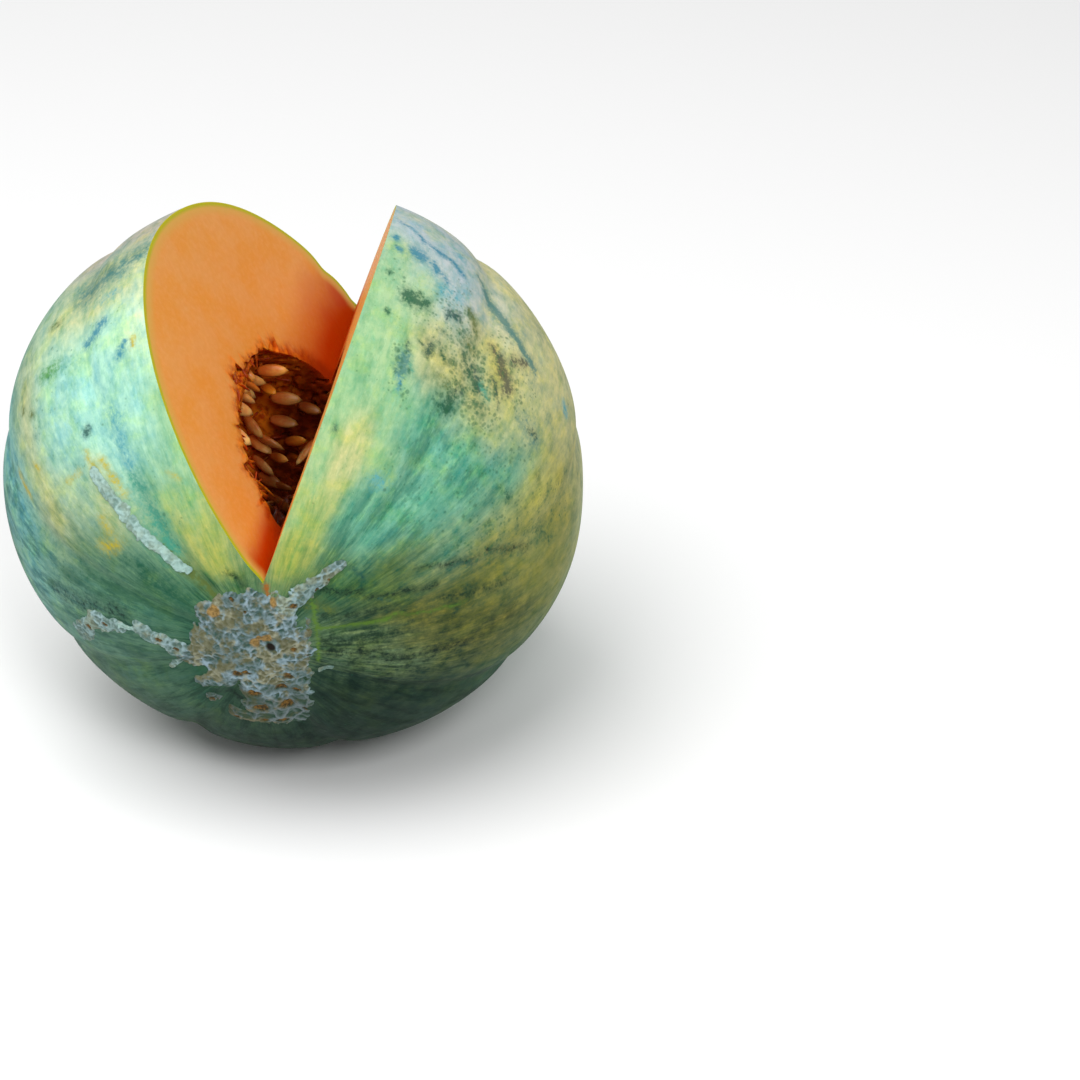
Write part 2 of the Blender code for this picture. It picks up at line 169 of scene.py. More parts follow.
def rind_map(around, from_blossom):
    """A flat map of the skin: degrees of arc from the blossom end, to the right and upwards."""
    turned = np.radians(around)
    return from_blossom[..., None] * np.stack([np.cos(turned), np.sin(turned)], axis=-1)


def rib_relief(around, from_blossom):
    """Ribs that bulge between narrow furrows. These are deeper towards both ends and fade out at the poles."""
    turn = (around[..., None] - FURROW_ANGLES + 180.0) % 360.0 - 180.0
    nearest = np.abs(turn).min(axis=-1)
    ahead = np.where(turn < 0.0, -turn, 360.0).min(axis=-1)
    behind = np.where(turn >= 0.0, turn, 360.0).min(axis=-1)
    across_rib = (behind - ahead) / (behind + ahead)
    ring_radius = EQUATOR_RADIUS * np.sin(np.radians(from_blossom))
    distance = np.radians(nearest) * ring_radius
    towards_end = np.cos(np.radians(from_blossom)) ** 2
    depth = FURROW_DEPTHS[0] + (FURROW_DEPTHS[1] - FURROW_DEPTHS[0]) * towards_end
    width = FURROW_WIDTHS[0] + (FURROW_WIDTHS[1] - FURROW_WIDTHS[0]) * towards_end
    fade = smooth_step(*FURROW_FADES[0], from_blossom) * smooth_step(*FURROW_FADES[1], 180.0 - from_blossom)
    valley = depth * fade * np.exp(-((distance / width) ** 2))
    bulge = RIB_BULGE * (1.0 - across_rib**2) * ring_radius / EQUATOR_RADIUS
    return bulge - valley


def end_relief(from_blossom):
    """The pit of the blossom scar, and the dimple round the raised button where the stem came away."""
    from_pole = np.radians(from_blossom) * EQUATOR_RADIUS
    from_stem = np.radians(180.0 - from_blossom) * EQUATOR_RADIUS
    pit = BLOSSOM_SCAR[1] * np.exp(-((from_pole / BLOSSOM_SCAR[0]) ** 2))
    dimple = STEM_DIMPLE[1] * np.exp(-((from_stem / STEM_DIMPLE[0]) ** 2))
    button = STEM_BUTTON[1] * (1.0 - smooth_step(0.75, 1.15, from_stem / STEM_BUTTON[0]))
    return button - pit - dimple


def flat_relief(around, from_blossom):
    """Slow dips, each deepest at its middle and fading with the angle from there, as no melon is truly round."""
    turned, polar = np.radians(around), np.radians(from_blossom)
    relief = np.zeros(around.shape)
    for middle_around, middle_polar, reach, depth in FLATS:
        other_turn, other_polar = radians(middle_around), radians(middle_polar)
        nearness = np.cos(polar) * cos(other_polar)
        nearness = nearness + np.sin(polar) * sin(other_polar) * np.cos(turned - other_turn)
        apart = np.degrees(np.arccos(np.clip(nearness, -1.0, 1.0)))
        relief -= depth * np.exp(-((apart / reach) ** 2))
    return relief


def skin_relief(around, from_blossom):
    """How far the skin stands out from the ellipsoid: ribs, ends and flats together."""
    return rib_relief(around, from_blossom) + end_relief(from_blossom) + flat_relief(around, from_blossom)


# Colours of the rind, which is waxy and washed with pigment along its ribs
RIND_COLOURS = {
    "mint": "#ACDEC6",
    "pale mint": "#D5E7BE",
    "lime": "#9ABC87",
    "butter": "#C9C084",
    "yellow": "#C2B64A",
    "cream": "#BBAEA0",
    "lavender": "#B5BDC4",
    "tan": "#CDC78B",
    "olive gold": "#847E2C",
    "sea mist": "#7CB898",
    # fern, dusk and deep darken the underside, partly as the rind's own colour and partly as painted shade
    "fern": "#4E7B59",
    "dusk": "#1F3323",
    "teal": "#3A8A76",
    "sea green": "#4F9B74",
    "leaf": "#4C8A3C",
    "mist blue": "#5098A2",
    "grey teal": "#467672",
    "forest": "#1C4F3A",
    "deep": "#0C1D19",
    "moss": "#56652F",
    "grass": "#54742A",
    "sage": "#4A6850",
    "blue": "#2E7890",
    "ink": "#1E4440",
    "umber": "#4A4A42",
    "amber": "#B4A010",
    "rust": "#94521A",
    "scar": "#A2946A",
}

# Washes of the rind: the ground's colour, the pigment's colour and its density, and a stroke on the map from one
# end to the other with its half width. The dusk and deep washes low on the melon are dark partly as painted
# shade.
RIND_WASHES = (
    ("cream", "grey teal", 0.20, -43.0, 92.0, -76.0, 76.0, 8.0),
    ("butter", "grey teal", 0.80, -40.0, 81.0, -60.0, 65.0, 4.5),
    ("butter", "sea green", 0.15, -38.0, 74.0, -60.0, 55.0, 5.0),
    ("pale mint", "mist blue", 0.15, -39.0, 78.0, -29.0, 57.0, 3.0),
    ("mint", "mist blue", 0.25, -40.0, 60.0, -37.0, 36.0, 10.5),
    ("mint", "mist blue", 0.30, -54.0, 47.0, -53.0, 38.0, 7.0),
    ("butter", "moss", 0.20, -66.0, 35.0, -45.0, 16.0, 6.0),
    ("mint", "mist blue", 0.85, -68.0, 15.0, -53.0, -13.0, 11.5),
    ("sea mist", "mist blue", 0.75, -84.0, 25.0, -69.0, 18.0, 4.5),
    ("lime", "sea green", 0.35, -24.0, 47.0, -15.0, 27.0, 3.0),
    ("lime", "teal", 0.55, -25.0, 33.0, -17.0, 18.0, 2.0),
    ("yellow", "leaf", 0.22, -13.0, 26.0, -9.0, 16.0, 3.5),
    ("butter", "leaf", 0.20, -36.0, 28.0, -29.0, 19.0, 2.5),
    ("fern", "forest", 0.60, -39.0, 5.0, -14.0, 8.0, 5.0),
    ("fern", "sage", 0.60, -55.0, -19.0, -39.0, -21.0, 24.5),
    ("dusk", "deep", 0.60, -41.0, -36.0, -9.0, -37.0, 18.5),
    ("fern", "forest", 0.80, -12.0, 10.0, -4.0, 14.0, 1.5),
    ("dusk", "forest", 0.80, -12.0, -1.0, -13.0, -20.0, 3.0),
    ("lavender", "mist blue", 0.25, 46.0, 104.0, 61.0, 77.0, 11.0),
    ("lavender", "mist blue", 0.30, 54.0, 81.0, 52.0, 69.0, 5.5),
    ("lime", "sea green", 0.28, 34.0, 85.0, 19.0, 49.0, 3.5),
    ("lime", "sea green", 0.25, 17.0, 45.0, 8.0, 26.0, 2.0),
    ("lime", "sea green", 0.15, 38.0, 70.0, 30.0, 48.0, 4.0),
    ("lime", "sea green", 0.25, 28.0, 44.0, 24.0, 35.0, 2.5),
    ("butter", "leaf", 0.15, 19.0, 41.0, 17.0, 35.0, 3.0),
    ("yellow", "leaf", 0.34, 11.0, 31.0, 6.0, 18.0, 2.6),
    ("tan", "grey teal", 0.15, 86.0, 75.0, 81.0, 27.0, 16.5),
    ("yellow", "moss", 0.25, 55.0, 60.0, 58.0, 50.0, 5.0),
    ("tan", "moss", 0.48, 41.0, 59.0, 47.0, 46.0, 3.5),
    ("sea mist", "teal", 0.72, 35.0, 39.0, 55.0, 27.0, 4.5),
    ("sea mist", "teal", 0.64, 21.0, 23.0, 39.0, 26.0, 4.0),
    ("yellow", "moss", 0.40, 59.0, 18.0, 70.0, 17.0, 4.5),
    ("olive gold", "moss", 0.45, 76.0, 16.0, 63.0, -5.0, 8.5),
    ("olive gold", "forest", 0.50, 49.0, 8.0, 42.0, 4.0, 7.0),
    ("grass", "forest", 0.60, 15.0, 12.0, 27.0, 9.0, 3.0),
    ("olive gold", "deep", 0.60, 26.0, 6.0, 41.0, -1.0, 4.0),
    ("dusk", "forest", 0.70, 11.0, 9.0, 14.0, 9.0, 2.0),
    ("lime", "deep", 0.70, 13.0, -2.0, 26.0, -9.0, 4.5),
    ("dusk", "deep", 0.80, 10.0, -14.0, 26.0, -23.0, 6.5),
    ("olive gold", "deep", 0.60, 32.0, -5.0, 49.0, -9.0, 6.0),
    ("dusk", "deep", 0.98, -7.0, -42.0, 13.0, -32.0, 17.5),
)

# How finely noise streaks along the ribs and how finely it blotches, how far each pushes the washes about in
# degrees, the angle from the blossom end where it does so in full, and its least share nearer that end
STREAK_FINENESS = np.array([9.0, 9.0, 4.0])
BLOTCH_FINENESS = 3.0
STREAK_PUSH = 4.5
BLOTCH_PUSH = 6.0
FULL_PUSH_FROM = 35.0
LEAST_PUSH = 0.15

# How much the plain rind weighs beside the washes, how fast a wash fades, where the plain rind's back begins,
# and how the grain's steps round the melon and along its ribs compare
WASH_FLOOR = 0.02
WASH_FADE = 1.2
BACK_FROM = (82.0, 104.0)
GRAIN_STRETCH = np.array([1.0, 1.0, 0.36])

# Spots and streaks of deeper colour: a colour, the two ends of a stroke on the map, its half width, and how
# solid it is. A mark that is less than half solid breaks up into specks.
RIND_MARKS = (
    ("grey teal", -40.0, 81.0, -60.0, 65.0, 3.8, 0.58),
    ("blue", -43.5, 61.0, -45.0, 58.0, 1.2, 1.0),
    ("blue", -45.5, 58.0, -48.0, 54.5, 1.0, 0.9),
    ("blue", -34.0, 58.0, -34.5, 54.5, 1.0, 0.85),
    ("amber", -32.0, 59.0, -31.5, 57.0, 0.6, 0.9),
    ("leaf", -55.0, 47.0, -59.0, 43.5, 2.4, 0.6),
    ("moss", -59.0, 34.5, -59.5, 34.0, 1.1, 0.7),
    ("moss", -64.0, 33.0, -64.0, 32.5, 0.9, 0.7),
    ("moss", -63.0, 56.0, -66.0, 54.0, 2.0, 0.5),
    ("ink", -39.5, 38.0, -39.5, 37.0, 0.9, 0.9),
    ("mist blue", -47.0, 66.0, -42.5, 69.5, 1.6, 0.5),
    ("mist blue", -31.5, 43.0, -31.0, 41.5, 1.6, 0.6),
    ("amber", -38.5, 33.5, -35.0, 30.0, 0.9, 0.55),
    ("amber", -34.5, 33.0, -28.0, 27.5, 1.2, 0.55),
    ("amber", -39.0, 29.0, -42.0, 25.5, 1.0, 0.5),
    ("amber", -62.0, 18.5, -57.0, 16.0, 1.2, 0.8),
    ("amber", -54.0, 25.0, -52.0, 24.5, 0.6, 0.7),
    ("amber", -29.0, 17.0, -31.5, 15.5, 2.0, 0.55),
    ("amber", -32.5, 21.5, -31.0, 19.5, 1.6, 0.5),
    ("amber", -18.0, 34.0, -16.0, 32.5, 0.8, 0.4),
    ("teal", -26.5, 31.5, -20.0, 22.5, 2.6, 0.62),
    ("teal", -20.0, 22.5, -17.0, 18.0, 2.2, 0.6),
    ("mist blue", -33.5, 43.0, -27.0, 32.5, 2.2, 0.55),
    ("blue", 43.5, 90.5, 49.0, 84.0, 0.9, 0.6),
    ("blue", 49.0, 84.0, 54.0, 79.0, 1.1, 0.7),
    ("blue", 54.0, 79.0, 56.0, 75.0, 0.9, 0.7),
    ("blue", 38.5, 96.5, 42.5, 93.0, 1.0, 0.6),
    ("blue", 35.0, 88.5, 35.0, 88.0, 1.1, 0.9),
    ("blue", 34.5, 84.5, 35.5, 84.0, 1.0, 0.9),
    ("blue", 40.0, 83.5, 42.5, 82.0, 1.9, 0.9),
    ("blue", 45.5, 79.0, 46.0, 77.5, 1.7, 0.85),
    ("blue", 47.0, 76.0, 48.0, 74.0, 1.3, 0.7),
    ("mist blue", 45.5, 72.0, 52.0, 69.0, 3.0, 0.5),
    ("blue", 44.5, 87.5, 46.0, 87.0, 1.0, 0.7),
    ("mist blue", 58.0, 83.5, 59.5, 81.0, 1.6, 0.6),
    ("grey teal", 64.0, 75.5, 64.0, 68.0, 1.2, 0.85),
    ("grey teal", 64.0, 68.0, 67.0, 55.5, 1.5, 0.95),
    ("grey teal", 67.0, 55.5, 70.0, 45.0, 1.3, 0.85),
    ("forest", 34.5, 71.0, 37.0, 69.0, 1.9, 0.9),
    ("forest", 37.0, 69.0, 39.5, 68.0, 1.6, 0.85),
    ("forest", 36.5, 71.0, 38.0, 71.5, 0.8, 0.8),
    ("ink", 45.5, 66.0, 48.5, 64.0, 1.1, 0.75),
    ("ink", 45.0, 65.0, 44.0, 64.0, 0.7, 0.7),
    ("moss", 53.0, 65.0, 53.5, 60.5, 2.0, 0.75),
    ("ink", 38.0, 58.5, 37.5, 57.0, 1.1, 0.85),
    ("ink", 33.0, 59.5, 32.5, 58.5, 0.9, 0.8),
    ("grey teal", 31.5, 56.5, 30.5, 54.0, 1.6, 0.85),
    ("blue", 30.0, 54.0, 29.5, 53.0, 1.0, 0.7),
    ("blue", 30.0, 52.0, 29.5, 50.5, 0.8, 0.7),
    ("teal", 33.0, 56.0, 32.5, 53.5, 1.1, 0.6),
    ("forest", 28.5, 67.5, 29.0, 67.0, 0.6, 0.8),
    ("forest", 31.0, 78.0, 30.5, 77.0, 0.7, 0.8),
    ("forest", 36.0, 59.5, 36.5, 59.0, 0.6, 0.7),
    ("forest", 36.5, 56.0, 37.0, 55.0, 0.6, 0.7),
    ("forest", 39.0, 60.5, 41.5, 59.0, 0.7, 0.6),
    ("forest", 41.0, 57.0, 42.0, 55.0, 0.7, 0.6),
    ("forest", 41.0, 62.0, 43.5, 60.5, 0.7, 0.6),
    ("forest", 47.0, 56.5, 48.0, 52.0, 0.9, 0.75),
    ("forest", 48.0, 52.0, 49.5, 47.0, 1.1, 0.8),
    ("ink", 50.0, 52.0, 50.0, 47.0, 0.9, 0.8),
    ("umber", 58.0, 55.5, 58.0, 53.0, 1.2, 0.7),
    ("umber", 58.5, 51.5, 58.0, 44.5, 1.6, 0.9),
    ("umber", 63.0, 50.5, 67.0, 48.5, 1.6, 0.75),
    ("ink", 69.0, 47.5, 70.0, 45.0, 1.0, 0.8),
    ("ink", 54.5, 49.0, 54.0, 41.0, 0.7, 0.7),
    ("teal", 51.0, 47.5, 51.5, 44.5, 1.5, 0.6),
    ("forest", 41.0, 46.0, 43.0, 47.0, 1.6, 0.8),
    ("forest", 39.0, 45.5, 41.0, 44.0, 1.6, 0.7),
    ("ink", 44.0, 47.5, 45.5, 47.5, 1.0, 0.8),
    ("moss", 40.5, 50.0, 43.5, 48.0, 2.5, 0.5),
    ("moss", 49.5, 58.5, 51.0, 55.5, 2.1, 0.5),
    ("ink", 62.0, 33.5, 63.0, 32.0, 1.2, 0.7),
    ("moss", 62.0, 23.0, 62.5, 21.0, 1.2, 0.5),
    ("forest", 52.0, 23.0, 52.5, 21.5, 1.1, 0.5),
    ("ink", 39.0, 12.0, 43.0, 10.5, 0.9, 0.55),
    ("ink", 22.0, 9.0, 24.5, 7.5, 0.7, 0.6),
    ("ink", 17.0, 16.0, 19.0, 14.0, 0.8, 0.55),
    ("forest", 62.0, 8.0, 65.5, 4.0, 2.0, 0.5),
    ("ink", 15.0, 44.0, 15.0, 43.5, 0.7, 0.7),
    ("mist blue", 23.0, 33.0, 24.5, 32.0, 2.0, 0.5),
    ("mist blue", 80.0, 32.0, 80.0, 30.0, 1.6, 0.7),
    ("grey teal", 60.5, 36.5, 63.0, 31.0, 3.0, 0.4),
    ("moss", 7.5, 10.0, 13.0, 7.0, 2.0, 0.5),
    ("dusk", 11.5, 6.0, 26.0, 6.0, 1.8, 0.5),
    ("dusk", 11.5, -0.5, 26.0, -0.5, 2.2, 0.5),
    ("deep", 12.0, 11.5, 19.0, 11.0, 1.4, 0.5),
    ("deep", 12.5, -3.0, 22.0, -4.0, 1.8, 0.5),
    ("deep", -6.0, 15.5, -2.5, 13.5, 1.2, 0.5),
    ("forest", -26.0, 14.0, -15.5, 8.0, 2.4, 0.5),
    ("deep", -46.5, -3.0, -29.0, 1.0, 3.2, 0.45),
    ("deep", -10.0, -15.0, -4.5, -17.5, 1.6, 0.5),
    ("deep", 20.0, 9.5, 34.0, 8.5, 1.2, 0.5),
    ("deep", 30.0, 13.5, 44.0, 11.5, 1.0, 0.45),
    ("dusk", 36.0, 4.0, 52.0, 1.5, 1.4, 0.55),
    ("deep", 24.0, -6.5, 40.0, -9.5, 1.5, 0.5),
    ("deep", 46.0, 12.0, 58.0, 6.5, 1.2, 0.5),
    ("grass", 10.5, 3.5, 15.5, 2.5, 0.5, 0.9),
    ("grass", 15.5, 2.5, 27.5, 3.0, 0.45, 0.85),
    ("grass", 27.5, 3.0, 40.0, 1.5, 0.35, 0.6),
    ("grass", 9.5, 10.0, 10.5, 3.5, 0.6, 0.75),
    ("grass", 10.5, 3.5, 10.5, -5.0, 0.5, 0.7),
    ("moss", -19.0, 18.5, -8.5, 9.5, 0.9, 0.8),
    ("rust", 1.0, 13.0, 1.5, 10.5, 0.7, 0.8),
)

# Zones where small dark specks lie close together: a stroke and its half width, and how crowded they are
SPECK_ZONES = (
    (48.5, 57.5, 49.5, 42.5, 7.5, 0.95),
    (40.5, 46.0, 45.5, 50.0, 5.0, 0.95),
    (31.5, 58.5, 29.5, 50.0, 3.0, 0.75),
    (35.0, 71.0, 39.5, 65.5, 4.5, 0.75),
    (47.5, 68.0, 49.5, 63.0, 4.0, 0.70),
    (31.5, 87.0, 33.0, 74.5, 3.5, 0.45),
    (44.5, 69.5, 56.5, 71.5, 5.0, 0.50),
    (60.0, 54.0, 62.5, 40.5, 6.0, 0.70),
    (40.5, 40.0, 54.5, 27.0, 9.0, 0.50),
    (28.0, 32.0, 42.5, 20.0, 8.0, 0.45),
    (-56.5, 34.0, -55.5, 49.0, 7.0, 0.35),
    (-45.0, 66.5, -45.0, 54.0, 7.0, 0.30),
    (-22.5, 33.5, -17.5, 24.5, 4.0, 0.40),
    (-45.0, 6.0, -29.0, 3.5, 8.0, 0.40),
    (44.5, 15.0, 70.5, 11.0, 9.0, 0.70),
)
SPECKS_ELSEWHERE = 0.16
SPECK_EDGE = (0.5, 1.3)

# A mark's slope at its edge, its least value, and the push and grain of its frayed edge in degrees
MARK_SLOPE = 0.6
NO_MARK = -4.0
MARK_FRAY = 0.7
MARK_FRAY_GRAIN = 2.6

# Rings of the scar where the stem came away, by their outer angle, and where the scar ends
STEM_SCAR_RINGS = (("umber", 7.0), ("scar", 4.6), ("umber", 1.3))
STEM_SCAR_EDGE = 5.6


def stroke_distance(spots, ends, half_width, last_half_width=None):
    """How far map points lie from a stroke, in its half widths. The far end may have a half width of its own."""
    start = np.array(ends[:2])
    along = np.array(ends[2:]) - start
    share = np.clip((spots - start) @ along / max(along @ along, 1e-9), 0.0, 1.0)
    if last_half_width is not None:
        half_width = half_width + share * (last_half_width - half_width)
    return np.linalg.norm(spots - start - share[..., None] * along, axis=-1) / half_width


def paint_rind(around, from_blossom):
    """The rind's colours, shares and grain for each point, by the names under which its material reads them.

    Each wash weighs 1 on its stroke's middle line and less and less away from it, and each point takes the mean
    of all washes by weight, with the plain rind as one more that weighs little. The map is first pushed about by
    noise that is drawn out along the ribs, so that no wash ends in a clean line. Where marks meet, the stronger
    one shows.
    """
    paint = {name: linear(code) for name, code in RIND_COLOURS.items()}
    turned, polar = np.radians(around), np.radians(from_blossom)
    ribwise = np.stack([np.cos(turned), np.sin(turned), polar], axis=-1)
    streak, blotch = ribwise * STREAK_FINENESS, ribwise * BLOTCH_FINENESS
    spots = rind_map(around, from_blossom)
    push = STREAK_PUSH * noise_pair(streak, (3, 4), 5, 40.0)
    push += BLOTCH_PUSH * noise_pair(blotch * 1.2, (13, 14), 4, 20.0)
    pushed = spots + push * np.clip(from_blossom / FULL_PUSH_FROM, LEAST_PUSH, 1.0)[..., None]

    slow = layered_noise(blotch, 5)
    behind = smooth_step(*BACK_FROM, from_blossom)
    upward = np.sin(turned) * np.sin(polar)
    ground = np.broadcast_to(paint["mint"], ribwise.shape).copy()
    # Painted shade in part: towards the underside the ground turns to fern, then dusk, and takes more pigment
    for name, share in (("butter", behind * smooth_step(-0.1, 0.4, slow)),
                        ("cream", 0.7 * behind * smooth_step(0.2, 0.7, slow)),
                        ("fern", smooth_step(0.0, -0.5, upward)),
                        ("dusk", smooth_step(-0.5, -0.95, upward))):
        ground += share[..., None] * (paint[name] - ground)
    density = 0.25 + 0.10 * layered_noise(streak * 1.3, 6)
    density += 0.25 * behind * smooth_step(-0.1, 0.5, layered_noise(blotch + 9.0, 8))
    density += 0.3 * smooth_step(0.1, -0.8, upward)
    pigment = np.broadcast_to(paint["sea green"], ribwise.shape)
    washed = WASH_FLOOR * np.concatenate([ground, pigment, density[..., None]], axis=-1)
    total = np.full(around.shape + (1,), WASH_FLOOR)
    for ground_name, pigment_name, strength, *stroke, half_width in RIND_WASHES:
        weight = np.exp(-WASH_FADE * stroke_distance(pushed, stroke, half_width))[..., None]
        washed += weight * np.array([*paint[ground_name], *paint[pigment_name], strength])
        total += weight
    washed /= total

    mark = np.full(around.shape, NO_MARK)
    mark_colour = np.broadcast_to(paint["ink"], ribwise.shape)
    frayed = MARK_FRAY * noise_pair(spots / MARK_FRAY_GRAIN, (71, 72))
    for name, *stroke, half_width, solid in RIND_MARKS:
        far = stroke_distance(spots + frayed, stroke, half_width)
        here = np.clip(MARK_SLOPE * (1.0 - far), NO_MARK, 0.5) - 1.0 + solid
        mark_colour = np.where((here > mark)[..., None], paint[name], mark_colour)
        mark = np.maximum(mark, here)
    from_stem = 180.0 - from_blossom + 0.5 * layered_noise(streak * 1.5, 77)
    for name, outer in STEM_SCAR_RINGS:
        mark_colour = np.where(from_stem[..., None] < outer, paint[name], mark_colour)
    mark = np.maximum(mark, np.clip(STEM_SCAR_EDGE - from_stem, NO_MARK, 0.6))
    specks = np.full(around.shape, SPECKS_ELSEWHERE)
    for *stroke, half_width, crowding in SPECK_ZONES:
        far = stroke_distance(spots + 3.0 * frayed, stroke, half_width)
        specks = np.maximum(specks, crowding * (1.0 - smooth_step(*SPECK_EDGE, far)))
    return {
        "ground": washed[..., :3],
        "pigment": washed[..., 3:6],
        "pigment_share": np.clip(washed[..., 6], 0.0, 1.0),
        "mark": mark,
        "mark_colour": mark_colour,
        "specks": specks,
        "grain": ribwise * GRAIN_STRETCH * EQUATOR_RADIUS,
    }


# The hollow's ragged border, in millimetres: the grain of its teeth, of the notches between them and of the
# patches that have notches, and how far teeth and notches reach into the flesh
TEETH_GRAIN, NOTCH_GRAIN, NOTCH_PATCH = 5.0, 1.9, 8.0
TEETH_REACH, NOTCH_REACH = 0.8, 3.6
HALVINGS = 24

# Painted light in the hollow, in millimetres: how far it takes to brighten towards the left, and one spot by the
# mouth with the radii between which it fades
PAINTED_LIGHT_WITHIN = 13.0
PAINTED_LIGHT_SPOT = np.array([-1.0, -13.0, -21.0])
PAINTED_LIGHT_SPOT_RADII = (10.0, 6.0)


def rays_at(turns, polars):
    """Unit rays at angles round an axis and from its near end, which may be any arrays that fit together."""
    turned, polar = np.broadcast_arrays(np.radians(turns), np.radians(polars))
    return np.stack([np.sin(polar) * np.cos(turned), np.sin(polar) * np.sin(turned), np.cos(polar)], axis=-1)


def skin_reach(rays):
    """How far rays from the ray origin run to the skin, how squarely they meet it, and the skin's angles there.

    They run to the ellipsoid, and on by the relief over their slant.
    """
    scaled, inner = rays / RADII, RAY_ORIGIN / RADII
    square, product = (scaled**2).sum(-1), (scaled * inner).sum(-1)
    reach = (np.sqrt(product**2 - square * (inner @ inner - 1.0)) - product) / square
    feet = RAY_ORIGIN + reach[..., None] * rays
    slant = (unit(feet / RADII**2) * rays).sum(-1)
    angles = skin_angles(feet)
    return reach + skin_relief(*angles) / slant, slant, angles


def hollow_lobes(turned):
    """How much wider the hollow is than its ellipsoid at an angle: it swells a little in three lobes."""
    return 1.0 + HOLLOW_LOBES * np.cos(3.0 * (turned - radians(HOLLOW_LOBE_ANGLE)))


def hollow_reach(rays):
    """How far rays from the ray origin run to the hollow's wall, by halving, and on into ragged teeth that point
    into the flesh."""
    near = np.zeros(rays.shape[:-1])
    far = np.full(rays.shape[:-1], 2.0 * HOLLOW_RADIUS)
    for _ in range(HALVINGS):
        middle = (near + far) / 2.0
        points = RAY_ORIGIN + middle[..., None] * rays
        radius = HOLLOW_RADIUS * hollow_lobes(np.arctan2(points[..., 1], points[..., 0]))
        across = np.hypot(points[..., 0], points[..., 1]) / radius
        inside = across**2 + ((points[..., 2] - HOLLOW_MIDDLE) / HOLLOW_HALF_LENGTH) ** 2 < 1.0
        near = np.where(inside, middle, near)
        far = np.where(inside, far, middle)
    feet = (RAY_ORIGIN + near[..., None] * rays) / MM
    teeth = smooth_step(0.0, 0.7, corner_noise(feet / TEETH_GRAIN, 21))
    notches = smooth_step(0.05, 0.70, corner_noise(feet / NOTCH_GRAIN, 22))
    notches *= smooth_step(-0.7, 0.0, corner_noise(feet / NOTCH_PATCH, 23))
    return near + (TEETH_REACH * teeth + NOTCH_REACH * notches) * MM


def paleness(points):
    """How much painted light wall, pulp and seeds get: 1 high on the hollow's left and round one spot by its
    mouth, and 0 down on its right, which is painted in shade."""
    left = smooth_step(0.0, PAINTED_LIGHT_WITHIN, (0.35 * points[..., 1] - points[..., 0]) / MM)
    return np.maximum(left, smooth_step(*PAINTED_LIGHT_SPOT_RADII, np.linalg.norm(points / MM - PAINTED_LIGHT_SPOT, axis=-1)))


def grid_quads(index, flip=False):
    """Four-cornered faces between neighbours of a grid of point numbers, flipped if they would face inwards."""
    quads = np.stack([index[:-1, :-1], index[1:, :-1], index[1:, 1:], index[:-1, 1:]], axis=-1).reshape(-1, 4)
    return quads[:, ::-1] if flip else quads


def close_ends(grid):
    """Gives the whole first and last row of a grid their first value, which closes the grid at its poles."""
    grid[0], grid[-1] = grid[0, 0], grid[-1, 0]
    return grid


def wrapped_quads(rows, columns, flip=False):
    """Faces of a grid that closes on itself sideways and to one point at either end."""
    index = close_ends(np.arange(rows * columns).reshape(rows, columns))
    return grid_quads(np.column_stack([index, index[:, 0]]), flip)


def split_faces(quads):
    """Faces with four corners, and those with three where one is met twice in a row. Others have no area."""
    repeated = quads == np.roll(quads, -1, axis=1)
    halves = quads[repeated.sum(axis=1) == 1]
    return quads[~repeated.any(axis=1)], halves[halves != np.roll(halves, -1, axis=1)].reshape(-1, 3)


def make_piece(name, points, quad_groups, materials, values):
    """A mesh object at the origin from points on the melon's axis, with one group of faces for each material.

    Points that no face uses are left out. The values are numbers, directions or colours for the points, which
    the materials read by name, and are 0 for points past their end.
    """
    groups = [split_faces(quads) for quads in quad_groups]
    used = np.unique(np.concatenate([corners.ravel() for group in groups for corners in group]))
    faces = [face for group in groups for corners in group for face in np.searchsorted(used, corners).tolist()]
    mesh = bpy.data.meshes.new(name)
    mesh.from_pydata(lay_down(points[used]).tolist(), [], faces)
    for material in materials:
        mesh.materials.append(material)
    numbers = np.repeat(np.arange(len(groups)), [len(quads) + len(triangles) for quads, triangles in groups])
    mesh.polygons.foreach_set("material_index", numbers.astype(np.int32))
    mesh.polygons.foreach_set("use_smooth", np.ones(len(faces), dtype=bool))
    for value_name, known in values.items():
        filled = np.zeros((len(points),) + known.shape[1:], dtype=np.float32)
        filled[:len(known)] = known
        kind, field = ("FLOAT", "value") if known.ndim == 1 else ("FLOAT_VECTOR", "vector")
        mesh.attributes.new(value_name, kind, "POINT").data.foreach_set(field, filled[used].ravel())
    mesh.update()
    piece = bpy.data.objects.new(name, mesh)
    bpy.context.scene.collection.objects.link(piece)
    return piece


# How finely the melon's skin, its hollow wall and its two cut faces are divided, how much closer together the
# faces' lines lie near the hollow, and the angle beyond which the shading breaks at an edge
ROWS = 220
SKIN_COLUMNS = 300
WALL_COLUMNS = 96
FACE_STEPS = 14
FACE_CROWDING = 1.4
KNIFE_CORNER = 38.0

# Shade down in the wedge, in millimetres: where it starts to thin above the inner edge, how far it takes to do
# so at the blossom end and how much longer at the stem end, and how far it runs on over the hollow's wall
SHADE_FROM = 2.0
SHADE_REACH = (11.0, 16.0)
SHADE_ON_WALL = 8.0

# How fast the strands at the hollow's border change into the flesh and along the border, and a depth in
# millimetres that stands for the rind
STRANDS_INWARD = 0.3
STRANDS_ALONG = 0.7
FAR_FROM_HOLLOW = 40.0


def wedge_shade(reach, polars):
    """How shaded a point of a knife face is: 1 near the wedge's inner edge, and less and less away from it."""
    polar = np.radians(polars)
    thins_within = SHADE_REACH[0] + SHADE_REACH[1] * smooth_step(0.6, -0.6, np.cos(polar))
    return 1.0 - np.clip((reach * np.sin(polar) / MM - SHADE_FROM) / thins_within, 0.0, 1.0)


